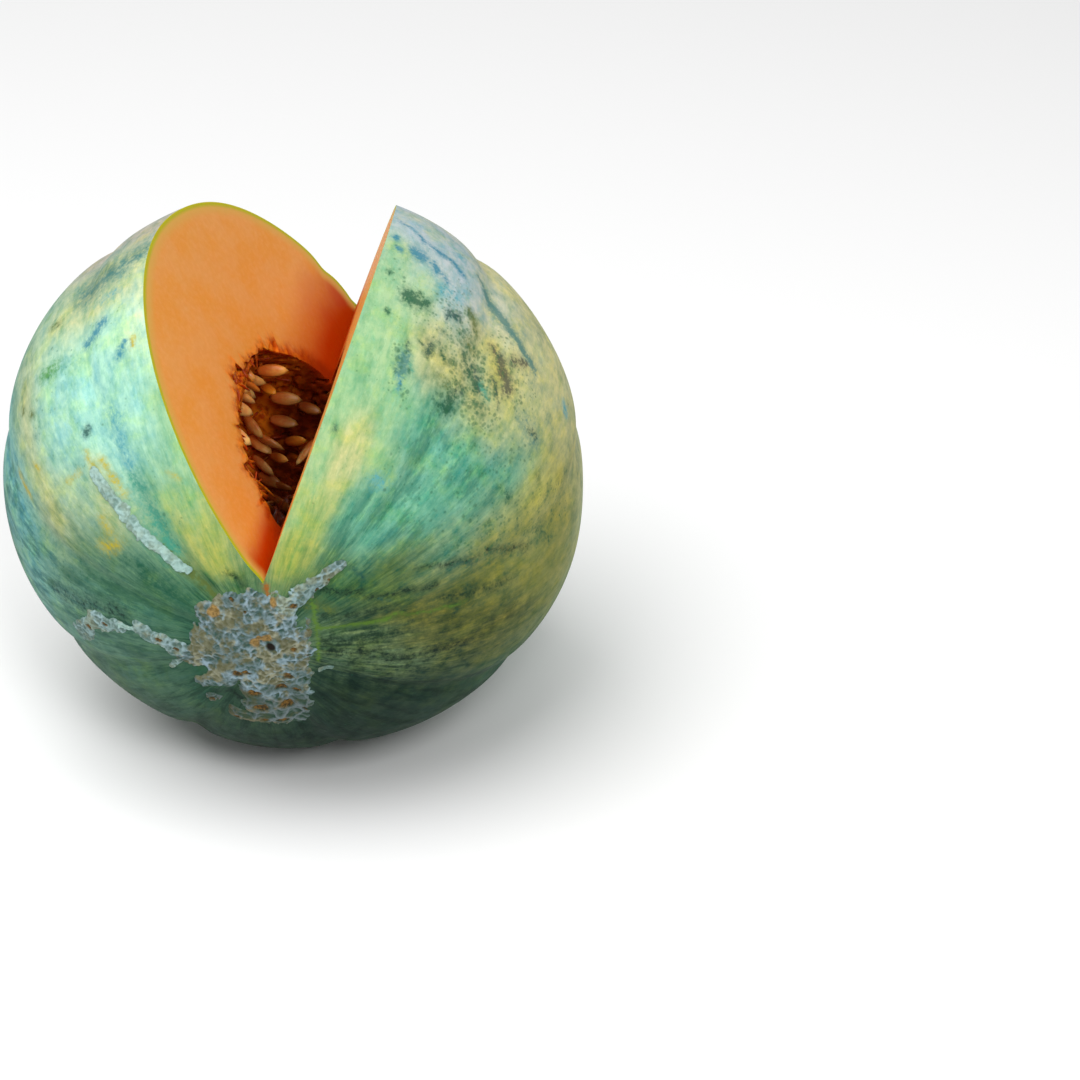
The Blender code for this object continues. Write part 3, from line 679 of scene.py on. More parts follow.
def border_strands(depth, polars):
    """Where the strands at the hollow's border are read for a point, from its depth in the flesh and its ray."""
    depth, polar = np.broadcast_arrays(depth, np.radians(polars))
    return np.stack([STRANDS_INWARD * depth, 0.0 * depth, polar * HOLLOW_RADIUS * STRANDS_ALONG], axis=-1)


def make_melon(rind, flesh):
    """Rind, cut faces and hollow wall as one closed surface.

    A ray from a point on the wedge's inner edge is turned by two angles: down from the edge's blossom exit, and
    round the edge from the left knife face, behind and under, to the right one. Where it leaves the hollow and
    the skin are the two curved grids. The same rays at the two faces, from hollow to skin, are the flat ones.
    """
    polars = np.linspace(0.0, 180.0, ROWS + 1)[:, None]
    sweep = 360.0 + FACE_ANGLES[RIGHT] - FACE_ANGLES[LEFT]
    even = np.linspace(0.0, 1.0, SKIN_COLUMNS + 1)
    crowded = (1.0 - np.cos(np.pi * np.linspace(0.0, 1.0, WALL_COLUMNS + 1))) / 2.0
    skin_rays, wall_rays = [
        rays_at(FACE_ANGLES[LEFT] + sweep * share, polars) @ EDGE_TURN.T for share in (even, crowded)
    ]
    skin, slant, (around, from_blossom) = skin_reach(skin_rays)
    wall = hollow_reach(wall_rays)
    skin_index = np.arange(skin.size).reshape(skin.shape)
    wall_index = skin.size + np.arange(wall.size).reshape(wall.shape)
    for grid in (skin, wall, skin_index, wall_index):
        close_ends(grid)

    # Each part has its points, and how far they lie from the rind and the hollow, their strands and their shade
    none = np.zeros(skin.shape)
    off_face = np.radians(sweep) * np.minimum(crowded, 1.0 - crowded) * wall * np.sin(np.radians(polars))
    wall_shade = wedge_shade(wall, polars) * np.exp(-off_face / (SHADE_ON_WALL * MM))
    parts = [
        (RAY_ORIGIN + skin[..., None] * skin_rays, none, none + FAR_FROM_HOLLOW, 0.0 * skin_rays, none),
        (RAY_ORIGIN + wall[..., None] * wall_rays, (skin_reach(wall_rays)[0] - wall) / MM, -off_face / MM,
         border_strands(0.0 * wall, polars), wall_shade),
    ]
    shares = np.linspace(0.0, 1.0, FACE_STEPS + 1)[1:-1] ** FACE_CROWDING
    count = skin.size + wall.size
    face_indices = []
    for side in (0, -1):
        inner, outer = wall[:, side, None], skin[:, side, None]
        reach = inner + (outer - inner) * shares
        from_rind = (outer - reach) * slant[:, side, None] / MM
        parts.append((RAY_ORIGIN + reach[..., None] * skin_rays[:, side, None], from_rind, (reach - inner) / MM,
                      border_strands(reach - inner, polars), wedge_shade(reach, polars)))
        index = count + np.arange(reach.size).reshape(reach.shape)
        count += reach.size
        if face_indices:
            index[0], index[-1] = face_indices[0][0, 1:-1], face_indices[0][-1, 1:-1]
        face_indices.append(np.column_stack([wall_index[:, side], index, skin_index[:, side]]))
    points, from_rind, from_hollow, along_rim, shaded = [
        np.concatenate([grid.reshape(-1, *grid.shape[2:]) for grid in grids]) for grids in zip(*parts)
    ]
    quads = [grid_quads(wall_index, flip=True)]
    quads += [grid_quads(index, flip) for index, flip in zip(face_indices, (False, True))]
    values = paint_rind(around.ravel(), from_blossom.ravel())
    values.update(from_rind=from_rind, from_hollow=from_hollow, along_rim=along_rim, shaded=shaded,
                  paleness=paleness(points))
    melon = make_piece("melon", points, [grid_quads(skin_index), np.concatenate(quads)], (rind, flesh), values)
    # The shading stays crisp where rind meets cut flesh and along the knife's inner edge
    melon.data.set_sharp_from_angle(angle=radians(KNIFE_CORNER))
    return melon


# Cork net, each stroke from one point of the map to another with a half width at either end, and how nearly its
# cells are closed
CORK_STROKES = (
    (-1.0, 2.0, 10.5, 0.0, -6.0, 10.5, 0.0),
    (0.0, -6.0, 10.0, 1.0, -10.0, 8.5, 0.0),
    (1.5, -10.0, 7.5, 1.5, -19.0, 7.0, 0.0),
    (-7.0, -23.0, 2.0, 6.0, -24.5, 2.0, 0.0),
    (-9.0, -3.0, 6.5, -15.0, -7.0, 3.0, 0.0),
    (-9.0, -11.0, 4.0, -12.5, -12.5, 1.6, 0.0),
    (-6.5, 8.0, 3.4, -1.0, 9.5, 3.0, 0.0),
    (5.0, 8.5, 2.7, 15.0, 16.5, 1.6, 0.2),
    (-14.0, 14.5, 1.0, -24.0, 21.0, 1.7, 0.7),
    (-24.0, 21.0, 1.7, -35.5, 29.5, 1.2, 0.7),
    (-15.0, -5.0, 2.6, -19.5, -3.0, 2.6, 0.2),
    (-19.5, -3.0, 2.2, -24.5, -2.0, 1.9, 0.3),
    (-24.5, -2.0, 0.5, -29.5, -2.5, 0.6, 0.8),
    (-29.5, -3.0, 1.4, -35.5, -4.5, 2.4, 0.3),
    (-35.5, -4.5, 2.2, -41.0, -12.0, 2.6, 0.3),
    (-10.5, 5.5, 2.0, -8.0, 8.0, 2.2, 0.0),
    (-19.5, -11.0, 1.0, -17.5, -9.0, 0.8, 0.4),
    (-11.5, -17.5, 1.3, -11.0, -18.0, 1.3, 0.0),
    (10.5, -8.0, 0.9, 12.5, -7.5, 0.8, 0.3),
)
BARE_SPOTS = ((-9.0, 6.5, 1.3), (-1.5, 0.0, 1.1), (-0.5, 1.0, 0.9), (1.0, 1.0, 1.2), (2.5, 9.5, 1.0))
SCAR_HOLE = (1.5, -1.0, 1.0)
PITS = (
    (-5.5, -8.5, 1.6), (-3.5, -8.0, 1.0), (4.5, -8.5, 1.3), (-2.5, -14.0, 1.6), (3.0, -12.5, 1.2),
    (5.5, -12.5, 1.0), (-1.5, -19.0, 1.8), (3.5, -18.5, 1.9), (7.0, -20.0, 1.2), (2.0, -24.0, 1.2),
    (-7.0, -23.5, 0.9), (-1.5, -24.0, 1.1), (-11.5, -18.0, 0.8), (-5.0, 10.0, 0.8), (-3.0, 7.5, 0.5),
    (6.0, 9.0, 1.1), (9.0, 7.0, 0.7), (11.0, 12.0, 0.7), (13.5, 13.5, 0.8), (-14.5, -1.0, 0.6),
    (6.0, -1.5, 0.8), (8.5, -3.0, 0.6), (8.5, 3.0, 0.4), (-33.0, -4.0, 0.8), (-37.5, -7.5, 0.9),
    (-20.5, -2.8, 0.9), (-17.0, -4.5, 0.8),
)

# The part of the map that the cork's grid covers and the grid's step, the three sizes of its cells and where the
# wide ones begin, all in degrees, and how deep its edge and its underside are sunk
CORK_FROM = (-50.0, -47.0)
CORK_TO = (21.0, 33.0)
CORK_STEP = 0.18
CORK_FINE_CELL = 1.2
CORK_MIDDLE_CELL = 2.0
CORK_WIDE_CELL = 3.4
CORK_WIDE_BELOW = -14.0
CORK_SINK = 0.7 * MM
CORK_UNDERSIDE = 0.5 * MM
CORK_FLOOR = 0.25 * MM
CORK_RIDGE = 0.55 * MM
CORK_GRAIN = 0.13 * MM
CORK_PIT = 0.1 * MM
KNIFE_MARGIN = 0.3 * MM
CLEARINGS = 4


def skin_points(around, from_blossom, lift):
    """Points on the skin, raised above it along the ellipsoid's own normal."""
    sphere = rays_at(around, from_blossom)
    return sphere * RADII + unit(sphere / RADII) * (skin_relief(around, from_blossom) + lift)[..., None]


def behind_knife(points):
    """How far points lie behind each knife face, inside what was left uncut. Both are below 0 in the wedge."""
    local = (points - EDGE_POINT) @ EDGE_TURN
    return local @ FACE_NORMALS[RIGHT], local @ FACE_NORMALS[LEFT]


def cell_borders(spots, size, seed):
    """How far map points lie from the border between the two nearest cell centres: how much farther off the
    second is. The cells are squares of the given size, each with its centre pushed to a place of its own."""
    scaled = spots / size
    base = np.floor(scaled)
    first = np.full(spots.shape[:-1], 9.0)
    second = first.copy()
    for step in np.ndindex(5, 5):
        cell = base + np.array(step) - 2.0
        push = np.stack([corner_noise(cell, seed), corner_noise(cell, seed + 1)], axis=-1)
        way = np.linalg.norm(scaled - cell - 0.5 - 0.45 * push, axis=-1)
        second = np.minimum(second, np.maximum(first, way))
        first = np.minimum(first, way)
    return (second - first) * size


def rings(spots, circle, squash=1.0):
    """How far map points lie from a circle's middle, in its radii."""
    x, y, radius = circle
    return np.hypot(spots[..., 0] - x, (spots[..., 1] - y) * squash) / radius


def cork_form(spots):
    """The cork's height over the rind at each point of the map, how far cork covers it, how much of it is ridge,
    bare scar, dark pit or hole, how closed its cells are, and how low it lies.

    A stroke covers the map out to its half width, which noise makes ragged. The net is a ridge along each cell's
    border, over a low floor: fine and middling cells, and wide ones low down. Towards a stroke's edge the cork
    sinks under the rind.
    """
    ragged = 0.42 * layered_noise(spots / 1.8, 31) + 0.22 * layered_noise(spots / 4.5, 34)
    cover, closed = np.zeros(spots.shape[:-1]), np.zeros(spots.shape[:-1])
    for x0, y0, half0, x1, y1, half1, solid in CORK_STROKES:
        reach = stroke_distance(spots, (x0, y0, x1, y1), half0, half1) + ragged * min(1.6, 2.4 / half0 + 0.3)
        here = 1.0 - smooth_step(0.66, 1.16, reach)
        closed = np.where(here > cover, solid, closed)
        cover = np.maximum(cover, here)
    covered = cover > 0.0
    spots, cover, closed = spots[covered], cover[covered], closed[covered]

    warped = spots + 0.7 * noise_pair(spots / 1.6, (36, 39))
    lace = 1.0 - smooth_step(0.03, 0.42, np.abs(layered_noise(spots / 1.9, 54, 2)))
    fine = 1.0 - smooth_step(0.04, 0.62, cell_borders(warped, CORK_FINE_CELL, 42))
    middle = 1.0 - smooth_step(0.08, 0.80, cell_borders(warped, CORK_MIDDLE_CELL, 43))
    wide = 1.0 - smooth_step(0.10, 0.85, cell_borders(warped, CORK_WIDE_CELL, 45))
    low = smooth_step(2.0, -2.0, spots[..., 1] - CORK_WIDE_BELOW + 3.0 * corner_noise(spots / 3.0, 48))
    ridge = (0.62 * middle + 0.38 * fine + 0.30 * lace) * (1.0 - low) + np.maximum(wide, 0.6 * lace) * low
    ridge = np.maximum(ridge, closed * (0.65 + 0.6 * corner_noise(spots / 0.7, 52)))
    pit, bare = np.zeros(cover.shape), np.zeros(cover.shape)
    for circle in PITS:
        ring = rings(warped, circle, 1.3)
        pit = np.maximum(pit, 1.0 - smooth_step(0.5, 1.0, ring))
        ridge = np.maximum(ridge, 0.85 * np.exp(-(((ring - 1.15) / 0.28) ** 2)))
    for circle in BARE_SPOTS:
        bare = np.maximum(bare, 1.0 - smooth_step(0.7, 1.1, rings(warped, circle)))
    hole = 1.0 - smooth_step(0.6, 1.15, rings(spots, SCAR_HOLE))
    strength = 0.80 + 0.45 * layered_noise(spots / 3.2, 63)
    ridge = np.clip(ridge * strength, 0.0, 1.0) * (1.0 - pit)
    ridge = (ridge * (1.0 - bare) + 0.4 * bare) * (1.0 - hole)
    crumbs = layered_noise(spots / 0.5, 50, 2) * (1.0 - bare)
    height = cover * (CORK_SINK + CORK_FLOOR) - CORK_SINK + smooth_step(0.2, 0.85, cover) * ridge * CORK_RIDGE
    height += CORK_GRAIN * crumbs * cover - CORK_PIT * pit

    form = {"height": height, "cover": cover, "ridge": ridge, "bare": bare, "pit": pit, "hole": hole,
            "closed": closed, "low": low}
    for name, known in form.items():
        form[name] = np.zeros(covered.shape)
        form[name][covered] = known
    return form


def make_cork(cork):
    """The raised net and its streaks as one crust: a fine grid of the map, kept where there is cork and closed
    below by the same grid, sunk under the rind.

    Cells that touch at one corner alone are cleared, because a closed crust can't turn there.
    """
    sides = [np.arange(start, end, CORK_STEP) for start, end in zip(CORK_FROM, CORK_TO)]
    spots = np.stack(np.meshgrid(*sides, indexing="ij"), axis=-1)
    form = cork_form(spots)
    height = form.pop("height")
    from_blossom = np.linalg.norm(spots, axis=-1)
    around = np.degrees(np.arctan2(spots[..., 1], spots[..., 0])) % 360.0
    top = skin_points(around, from_blossom, height)
    bottom = skin_points(around, from_blossom, np.minimum(height, -CORK_SINK) - CORK_UNDERSIDE)
    corner = (form["cover"] > 0.0) & (np.maximum(*behind_knife(top)) > KNIFE_MARGIN)
    cells = corner[:-1, :-1] & corner[1:, :-1] & corner[1:, 1:] & corner[:-1, 1:]
    cells[0] = cells[-1] = cells[:, 0] = cells[:, -1] = False
    for _ in range(CLEARINGS):
        a, b, c, d = cells[:-1, :-1], cells[1:, :-1], cells[:-1, 1:], cells[1:, 1:]
        touching = (a & d & ~b & ~c) | (b & c & ~a & ~d)
        cells[:-1, :-1] &= ~touching
        cells[1:, :-1] &= ~touching
    count = height.size
    index = np.arange(count).reshape(height.shape)
    across, upwards = np.nonzero(cells)
    upper = np.stack([index[across + i, upwards + j] for i, j in ((0, 0), (1, 0), (1, 1), (0, 1))], axis=-1)
    walls = []
    for side, (i, j) in enumerate(((0, -1), (1, 0), (0, 1), (-1, 0))):
        open_side = ~cells[across + i, upwards + j]
        first, last = upper[open_side, side], upper[open_side, (side + 1) % 4]
        walls.append(np.stack([last, first, first + count, last + count], axis=-1))
    quads = np.concatenate([upper, upper[:, ::-1] + count] + walls)
    points = np.concatenate([top.reshape(-1, 3), bottom.reshape(-1, 3)])
    values = {name: known.ravel() for name, known in form.items()}
    return make_piece("cork_net", points, [quads], (cork,), values)


# Bands of pulp, as on the solids: a name, its angle round the axis, half the angle that it spans, how far its
# seeds lean to the blossom end, and which knife face ends it
BANDS = (
    ("left", 150.0, 50.0, 6.0, LEFT),
    ("right", 28.0, 50.0, 12.0, RIGHT),
    ("floor", 270.0, 48.0, 40.0, None),
)
BAND_ROWS = 81
BAND_COLUMNS = 140
BAND_HALF_LENGTH = 0.031
BAND_THICKNESS = 0.010
BAND_THINNEST = 0.3
BAND_ROUNDING = 0.6
BAND_LUMPS = 0.10
BAND_LUMP_WAVES = (9.0, 7.0)
BAND_THINS = 0.009
BAND_MARGIN = 1.2 * MM
WALL_GAP = 0.0006

# Seeds, and how they stand: each family in a band has its rows, its seeds in a row, the share of a seed that is
# sunk and its size, and seeds turn and stray at random. Roots stand clear of the knife faces.
SEED_LENGTH = 0.0105
SEED_WIDTH = 0.0047
SEED_THICKNESS = 0.0022
SEED_STEPS = 8
SEED_FAMILIES = ((8, 8, 0.26, 1.0), (9, 10, 0.5, 0.85))
SEED_STAGGER = 0.25
SEED_EDGE = 0.94
SEED_FAN = 52.0
SEED_STRAY_TURN = 16.0
SEED_ROLL = 35.0
SEED_STRAY = 0.10
ROOT_CLEAR_OF_KNIFE = 0.0075
SEED_DRAW = 11


def band_points(sideways, lengthways, inward, band_angle, half_angle, relief=0.0):
    """A pad of pulp on the hollow's wall: flat against it outside, thickest in its middle, and lumpy inside. It
    thins where it nears a knife face."""
    turned = np.radians(band_angle + half_angle * sideways)
    along = HOLLOW_MIDDLE + BAND_HALF_LENGTH * lengthways
    wall = hollow_radius(turned, along) - WALL_GAP
    foot = np.stack([wall * np.cos(turned), wall * np.sin(turned), along], axis=-1)
    near_knife = smooth_step(0.0, BAND_THINS, np.maximum(*behind_knife(foot)))
    thickness = BAND_THICKNESS * (BAND_THINNEST + (1.0 - BAND_THINNEST) * near_knife)
    length_wave, side_wave = BAND_LUMP_WAVES
    lumps = 1.0 + BAND_LUMPS * np.sin(length_wave * lengthways + band_angle) * np.cos(side_wave * sideways)
    radius = wall - thickness * np.clip(inward, 0.0, 1.0) ** BAND_ROUNDING * (lumps + relief)
    return np.stack([radius * np.cos(turned), radius * np.sin(turned), along], axis=-1)


def hollow_radius(turned, along):
    """The hollow's radius at an angle and a place along the axis."""
    share = np.clip((along - HOLLOW_MIDDLE) / HOLLOW_HALF_LENGTH, -1.0, 1.0)
    return HOLLOW_RADIUS * np.sqrt(1.0 - share**2) * hollow_lobes(turned)


def keep_behind(points, knife, margin):
    """Pushes points that are nearer than a margin to a knife face, or past it, straight back behind it."""
    if knife is None:
        return points
    short = np.clip(margin - behind_knife(points)[knife], 0.0, None)
    return points + short[..., None] * (EDGE_TURN @ FACE_NORMALS[knife])


def make_band(name, band_angle, half_angle, knife, pulp):
    """One pad of pulp, as a closed grid round a sphere, pressed to the wall and raised in lumps and fibres.

    What would pass the knife's plane is pushed back on to it, as a clean cut.
    """
    turns, polars = np.linspace(0.0, 360.0, BAND_COLUMNS, endpoint=False), np.linspace(0.0, 180.0, BAND_ROWS)
    sideways, inward, lengthways = np.moveaxis(rays_at(turns, polars[:, None]), -1, 0)
    seed = int(band_angle)
    spots = np.stack([sideways * 9.0, lengthways * 8.0, inward * 3.0], axis=-1)
    fibres = 1.0 - np.abs(layered_noise(spots * np.array([2.2, 5.0, 1.0]), seed + 5, 2))
    relief = 0.42 * layered_noise(spots, seed) + 0.30 * (fibres - 0.7)
    points = band_points(sideways, lengthways, inward, band_angle, half_angle, relief)
    points = keep_behind(points, knife, BAND_MARGIN).reshape(-1, 3)
    # The relief also sets the pulp's painted shade: darker in its creases, paler on its ridges
    values = {"crease": relief.ravel(), "paleness": paleness(points)}
    return make_piece("pulp_" + name, points, [wrapped_quads(BAND_ROWS, BAND_COLUMNS)], (pulp,), values)


def seed_places(band_angle, half_angle, lean, draw, family):
    """Where seeds stand in a band: their roots, three axes across, through and along each, and their sizes.

    They stand in staggered rows, stray at random, turn away from the band's middle line, and none has its root
    at a knife face.
    """
    rows, columns, sunk, size = family
    roots, frames = [], []
    for row in range(rows):
        stagger = SEED_STAGGER if row % 2 else -SEED_STAGGER
        for column in range(columns):
            spot = 2.0 * np.array([(row + 0.5) / rows, (column + 0.5 + stagger) / columns]) - 1.0
            spot += draw.uniform(-SEED_STRAY, SEED_STRAY, 2)
            own_turn = draw.uniform(-SEED_STRAY_TURN, SEED_STRAY_TURN, 2)
            roll = draw.uniform(-SEED_ROLL, SEED_ROLL)
            if spot @ spot > SEED_EDGE:
                continue
            surface = band_points(*spot, np.sqrt(1.0 - spot @ spot), band_angle, half_angle)
            around = band_angle + half_angle * spot[0] + 180.0 - SEED_FAN * spot[0] + own_turn[0]
            upright = Euler((0.0, radians(90.0 - lean - own_turn[1]), radians(around))).to_matrix()
            turned = np.array(upright @ Euler((0.0, 0.0, radians(90.0 + roll))).to_matrix())
            root = surface - turned[:, 2] * SEED_LENGTH * sunk
            if max(behind_knife(root)) > ROOT_CLEAR_OF_KNIFE:
                roots.append(root)
                frames.append(turned)
    return np.array(roots), np.array(frames), np.full(len(roots), size)


# Seeds that show best, by band: root and tip in millimetres on the melon's axis, and how far the flat side turns
# away from the camera's side
FRONT_SEEDS = {
    "left": (
        (-13.0, 22.5, -17.5, -3.0, 23.0, -17.5, 15.0),
        (-12.5, 14.5, -21.5, -7.0, 15.5, -16.0, -20.0),
        (-11.0, 7.5, -24.5, -0.5, 8.0, -23.0, 10.0),
        (-11.5, -1.0, -25.5, -2.0, -0.5, -22.0, -25.0),
        (-15.5, -4.5, -22.0, -6.0, -7.0, -18.0, 65.0),
        (-11.5, -12.0, -21.5, -5.0, -10.5, -17.5, 20.0),
        (-19.0, 0.5, -25.0, -12.5, -4.0, -19.5, 35.0),
        (-18.0, -7.0, -24.5, -10.0, -9.0, -18.5, -30.0),
        (-17.0, -13.5, -23.0, -9.5, -15.5, -16.5, 50.0),
        (-15.5, -19.0, -21.5, -7.0, -20.0, -16.5, 15.0),
        (-13.0, -25.5, -19.0, -5.0, -24.5, -13.0, 40.0),
    ),
    "right": (),
    "floor": (
        (-11.5, -21.0, -19.0, -4.0, -19.5, -15.0, 45.0),
        (-9.5, -26.0, -16.0, -4.0, -23.0, -10.0, 10.0),
        (-7.5, -10.0, -25.5, 0.0, -6.0, -22.0, 30.0),
        (-3.0, 3.5, -27.0, 5.0, 3.5, -23.0, -10.0),
        (2.0, -9.0, -26.5, -3.5, -14.5, -20.0, 60.0),
        (4.5, -12.0, -24.5, -1.0, -16.5, -18.5, 50.0),
    ),
}
FRONT_SIDE = np.array([0.05, 0.64, 0.77])

# Shreds of pulp: how many there are along the border at a knife face, on a band and on the hollow's two ends,
# their lengths and widths in millimetres, their bend and flatness, and how they stray. Those of the border start
# some degrees behind the knife face, and those of the ends lie mostly at the stem end.
FRINGE_SHREDS = 80
BAND_SHREDS = 60
END_SHREDS = 90
SHRED_STEPS = 7
SHRED_LENGTHS = (3.0, 8.0)
SHRED_WIDTHS = (0.4, 1.2)
SHRED_BEND = 0.9
SHRED_FLATNESS = 0.6
SHRED_MARGIN = 0.9 * MM
SHRED_STRAY = 4.0 * MM
FRINGE_BEHIND_KNIFE = (0.5, 5.0)
FRINGE_POLARS = (14.0, 112.0)
FRINGE_ROOT = 1.0 * MM
END_HEIGHTS = (0.62, 1.0)
END_ROOT = 0.8 * MM
END_CLEAR_OF_KNIFE = 4.0 * MM
STEM_END_SHARE = 0.75
TUBE_SIDES = 8


def front_seeds(name):
    """Roots, axes and sizes of the seeds that are placed one by one.

    The flat side of each first faces the camera's side, and is then turned about the seed's length.
    """
    places = np.array(FRONT_SEEDS[name]).reshape(-1, 7)
    roots, tips, turn = places[:, :3] * MM, places[:, 3:6] * MM, np.radians(places[:, 6:])
    along = unit(tips - roots)
    across = unit(np.cross(FRONT_SIDE, along))
    across = np.cos(turn) * across + np.sin(turn) * np.cross(along, across)
    frames = np.stack([across, np.cross(along, across), along], axis=-1)
    return roots, frames, np.linalg.norm(tips - roots, axis=-1) / SEED_LENGTH


def make_tubes(name, middles, across, through, material, **values):
    """Closed tubes in one mesh, each drawn through its middle points with its own half axes, which are 0 at its
    ends. The values are given for each middle point, and all points round it share them."""
    count, steps = middles.shape[:2]
    turned = np.linspace(0.0, 2.0 * np.pi, TUBE_SIDES, endpoint=False)[:, None]
    points = middles[:, :, None] + across[:, :, None] * np.cos(turned) + through[:, :, None] * np.sin(turned)
    points = points.reshape(-1, 3)
    starts = np.arange(0, len(points), steps * TUBE_SIDES)
    quads = (starts[:, None, None] + wrapped_quads(steps, TUBE_SIDES, flip=True)).reshape(-1, 4)
    for value_name, known in values.items():
        values[value_name] = np.repeat(np.broadcast_to(known, (count, steps)), TUBE_SIDES)
    return make_piece(name, points, [quads], (material,), {**values, "paleness": paleness(points)})


def make_seeds(name, roots, frames, sizes, coat):
    """Seeds as flat drops, in one mesh: narrow at the root, blunt at the tip, thickest along the middle."""
    along = np.linspace(0.0, 1.0, SEED_STEPS)
    plump = np.sin(np.pi * along**0.82) ** 0.62 * (0.80 + 0.20 * along)
    plump[[0, -1]] = 0.0
    across, through, lengthways = np.moveaxis(frames[:, None] * sizes[:, None, None, None], -1, 0)
    middles = roots[:, None] + lengthways * along[:, None] * SEED_LENGTH
    across, through = across * SEED_WIDTH / 2.0, through * SEED_THICKNESS / 2.0
    own = np.random.default_rng(len(roots)).uniform(0.0, 1.0, len(roots))
    return make_tubes("seeds_" + name, middles, across * plump[:, None], through * plump[:, None], coat,
                      own_shade=own[:, None], towards_tip=along)


def make_shreds(name, roots, directions, lengths, knife, pulp):
    """Loose shreds of pulp: tapering tubes that bend as they hang from the wall or the band."""
    draw = np.random.default_rng(len(roots))
    along = np.linspace(0.0, 1.0, SHRED_STEPS)
    directions = unit(directions)
    bends = draw.uniform(-SHRED_BEND, SHRED_BEND, directions.shape)
    bends -= (bends * directions).sum(-1)[:, None] * directions
    reach = lengths[:, None, None] * along[:, None]
    middles = roots[:, None] + directions[:, None] * reach + bends[:, None] * reach * along[:, None]
    across = unit(np.cross(directions, draw.uniform(-1.0, 1.0, directions.shape)))
    through = SHRED_FLATNESS * np.cross(directions, across)
    girth = (1.0 - along) ** 0.6 * (1.0 + 0.25 * np.sin(9.0 * along))
    girth[[0, -1]] = 0.0
    widths = (draw.uniform(*SHRED_WIDTHS, len(roots)) * MM)[:, None, None] * girth[:, None]
    # A tone for each shred, darker towards its tip; shreds have no painted crease shade
    crease = draw.uniform(-0.25, 0.25, len(roots))[:, None] - 0.3 * along
    return make_tubes("shreds_" + name, keep_behind(middles, knife, SHRED_MARGIN), across[:, None] * widths,
                      through[:, None] * widths, pulp, crease=crease)


def fringe_places(knife, draw):
    """Roots and directions of shreds along the hollow's border at a knife face, a little behind that face."""
    sign = (-1.0, 1.0)[knife]
    turns = FACE_ANGLES[knife] + sign * draw.uniform(*FRINGE_BEHIND_KNIFE, FRINGE_SHREDS)
    rays = rays_at(turns, draw.uniform(*FRINGE_POLARS, FRINGE_SHREDS)) @ EDGE_TURN.T
    roots = RAY_ORIGIN + (hollow_reach(rays) + FRINGE_ROOT)[:, None] * rays
    directions = -rays + EDGE_ALONG * draw.uniform(-0.2, 1.0, FRINGE_SHREDS)[:, None]
    return roots, directions + draw.uniform(-0.35, 0.35, rays.shape)


def end_places(draw):
    """Roots and directions of shreds on the hollow's two ends, which the bands leave bare."""
    turned = draw.uniform(0.0, 2.0 * np.pi, END_SHREDS)
    height = draw.uniform(*END_HEIGHTS, END_SHREDS)
    height *= np.where(draw.uniform(0.0, 1.0, END_SHREDS) < STEM_END_SHARE, -1.0, 1.0)
    along = HOLLOW_MIDDLE + HOLLOW_HALF_LENGTH * height
    radius = hollow_radius(turned, along)
    roots = np.stack([radius * np.cos(turned), radius * np.sin(turned), along], axis=-1)
    inward = unit(np.array([0.0, 0.0, HOLLOW_MIDDLE]) - roots)
    kept = np.maximum(*behind_knife(roots)) > END_CLEAR_OF_KNIFE
    return (roots - inward * END_ROOT)[kept], (inward + draw.uniform(-0.6, 0.6, inward.shape))[kept]


# Kinds of shader node, by the work that they do here, each with its settings
NODE_KINDS = {
    "place": ("TexCoord", {}),
    "read": ("Attribute", {}),
    "shift": ("VectorMath", {"operation": "ADD"}),
    "noise": ("TexNoise", {}),
    "cells": ("TexVoronoi", {}),
    "channels": ("SeparateColor", {}),
    "sum": ("Math", {"operation": "ADD"}),
    "difference": ("Math", {"operation": "SUBTRACT"}),
    "product": ("Math", {"operation": "MULTIPLY"}),
    "weigh": ("Math", {"operation": "MULTIPLY_ADD"}),
    "ramp": ("MapRange", {"interpolation_type": "SMOOTHSTEP"}),
    "blend": ("Mix", {"data_type": "RGBA"}),
    "tint": ("Mix", {"data_type": "RGBA", "blend_type": "MULTIPLY"}),
    "bump": ("Bump", {}),
}


def add_node(tree, kind, *values, output=0, **settings):
    """Adds a node with its settings, feeds its open inputs in their order, and returns one of its outputs.

    A socket is linked, a hex colour is made linear, and None leaves an input as it is.
    """
    node_type, kind_settings = NODE_KINDS[kind]
    node = tree.nodes.new("ShaderNode" + node_type)
    for name, setting in {**kind_settings, **settings}.items():
        setattr(node, name, setting)
    for socket, value in zip([socket for socket in node.inputs if socket.enabled], values):
        if isinstance(value, bpy.types.NodeSocket):
            tree.links.new(value, socket)
        elif value is not None:
            socket.default_value = (*linear(value), 1.0) if isinstance(value, str) else value
    if isinstance(output, str):
        return node.outputs[output]
    return [socket for socket in node.outputs if socket.enabled][output]


def new_surface(name, **settings):
    """A material whose shader has some constant settings, and the function that adds nodes to it."""
    material = bpy.data.materials.new(name)
    material.use_nodes = True
    shader = material.node_tree.nodes["Principled BSDF"]
    for key, value in settings.items():
        shader.inputs[key.replace("_", " ")].default_value = value
    return material, partial(add_node, material.node_tree)


def link_surface(material, **sockets):
    """Links sockets to a material's shader, by the names of its inputs."""
    tree = material.node_tree
    for key, socket in sockets.items():
        tree.links.new(socket, tree.nodes["Principled BSDF"].inputs[key.replace("_", " ")])
    return material


def scale_of(grain_mm):
    """The scale of a pattern whose coarsest grain is so many millimetres."""
    return 1.0 / (grain_mm * MM)


def vary(add, base, *noises):
    """A value, with noises added to it. Each noise runs from about 0 to 1 and is centred and weighted first."""
    total = add("sum", base, -0.5 * sum(weight for _, weight in noises))
    for noise, weight in noises:
        total = add("weigh", noise, weight, total)
    return total


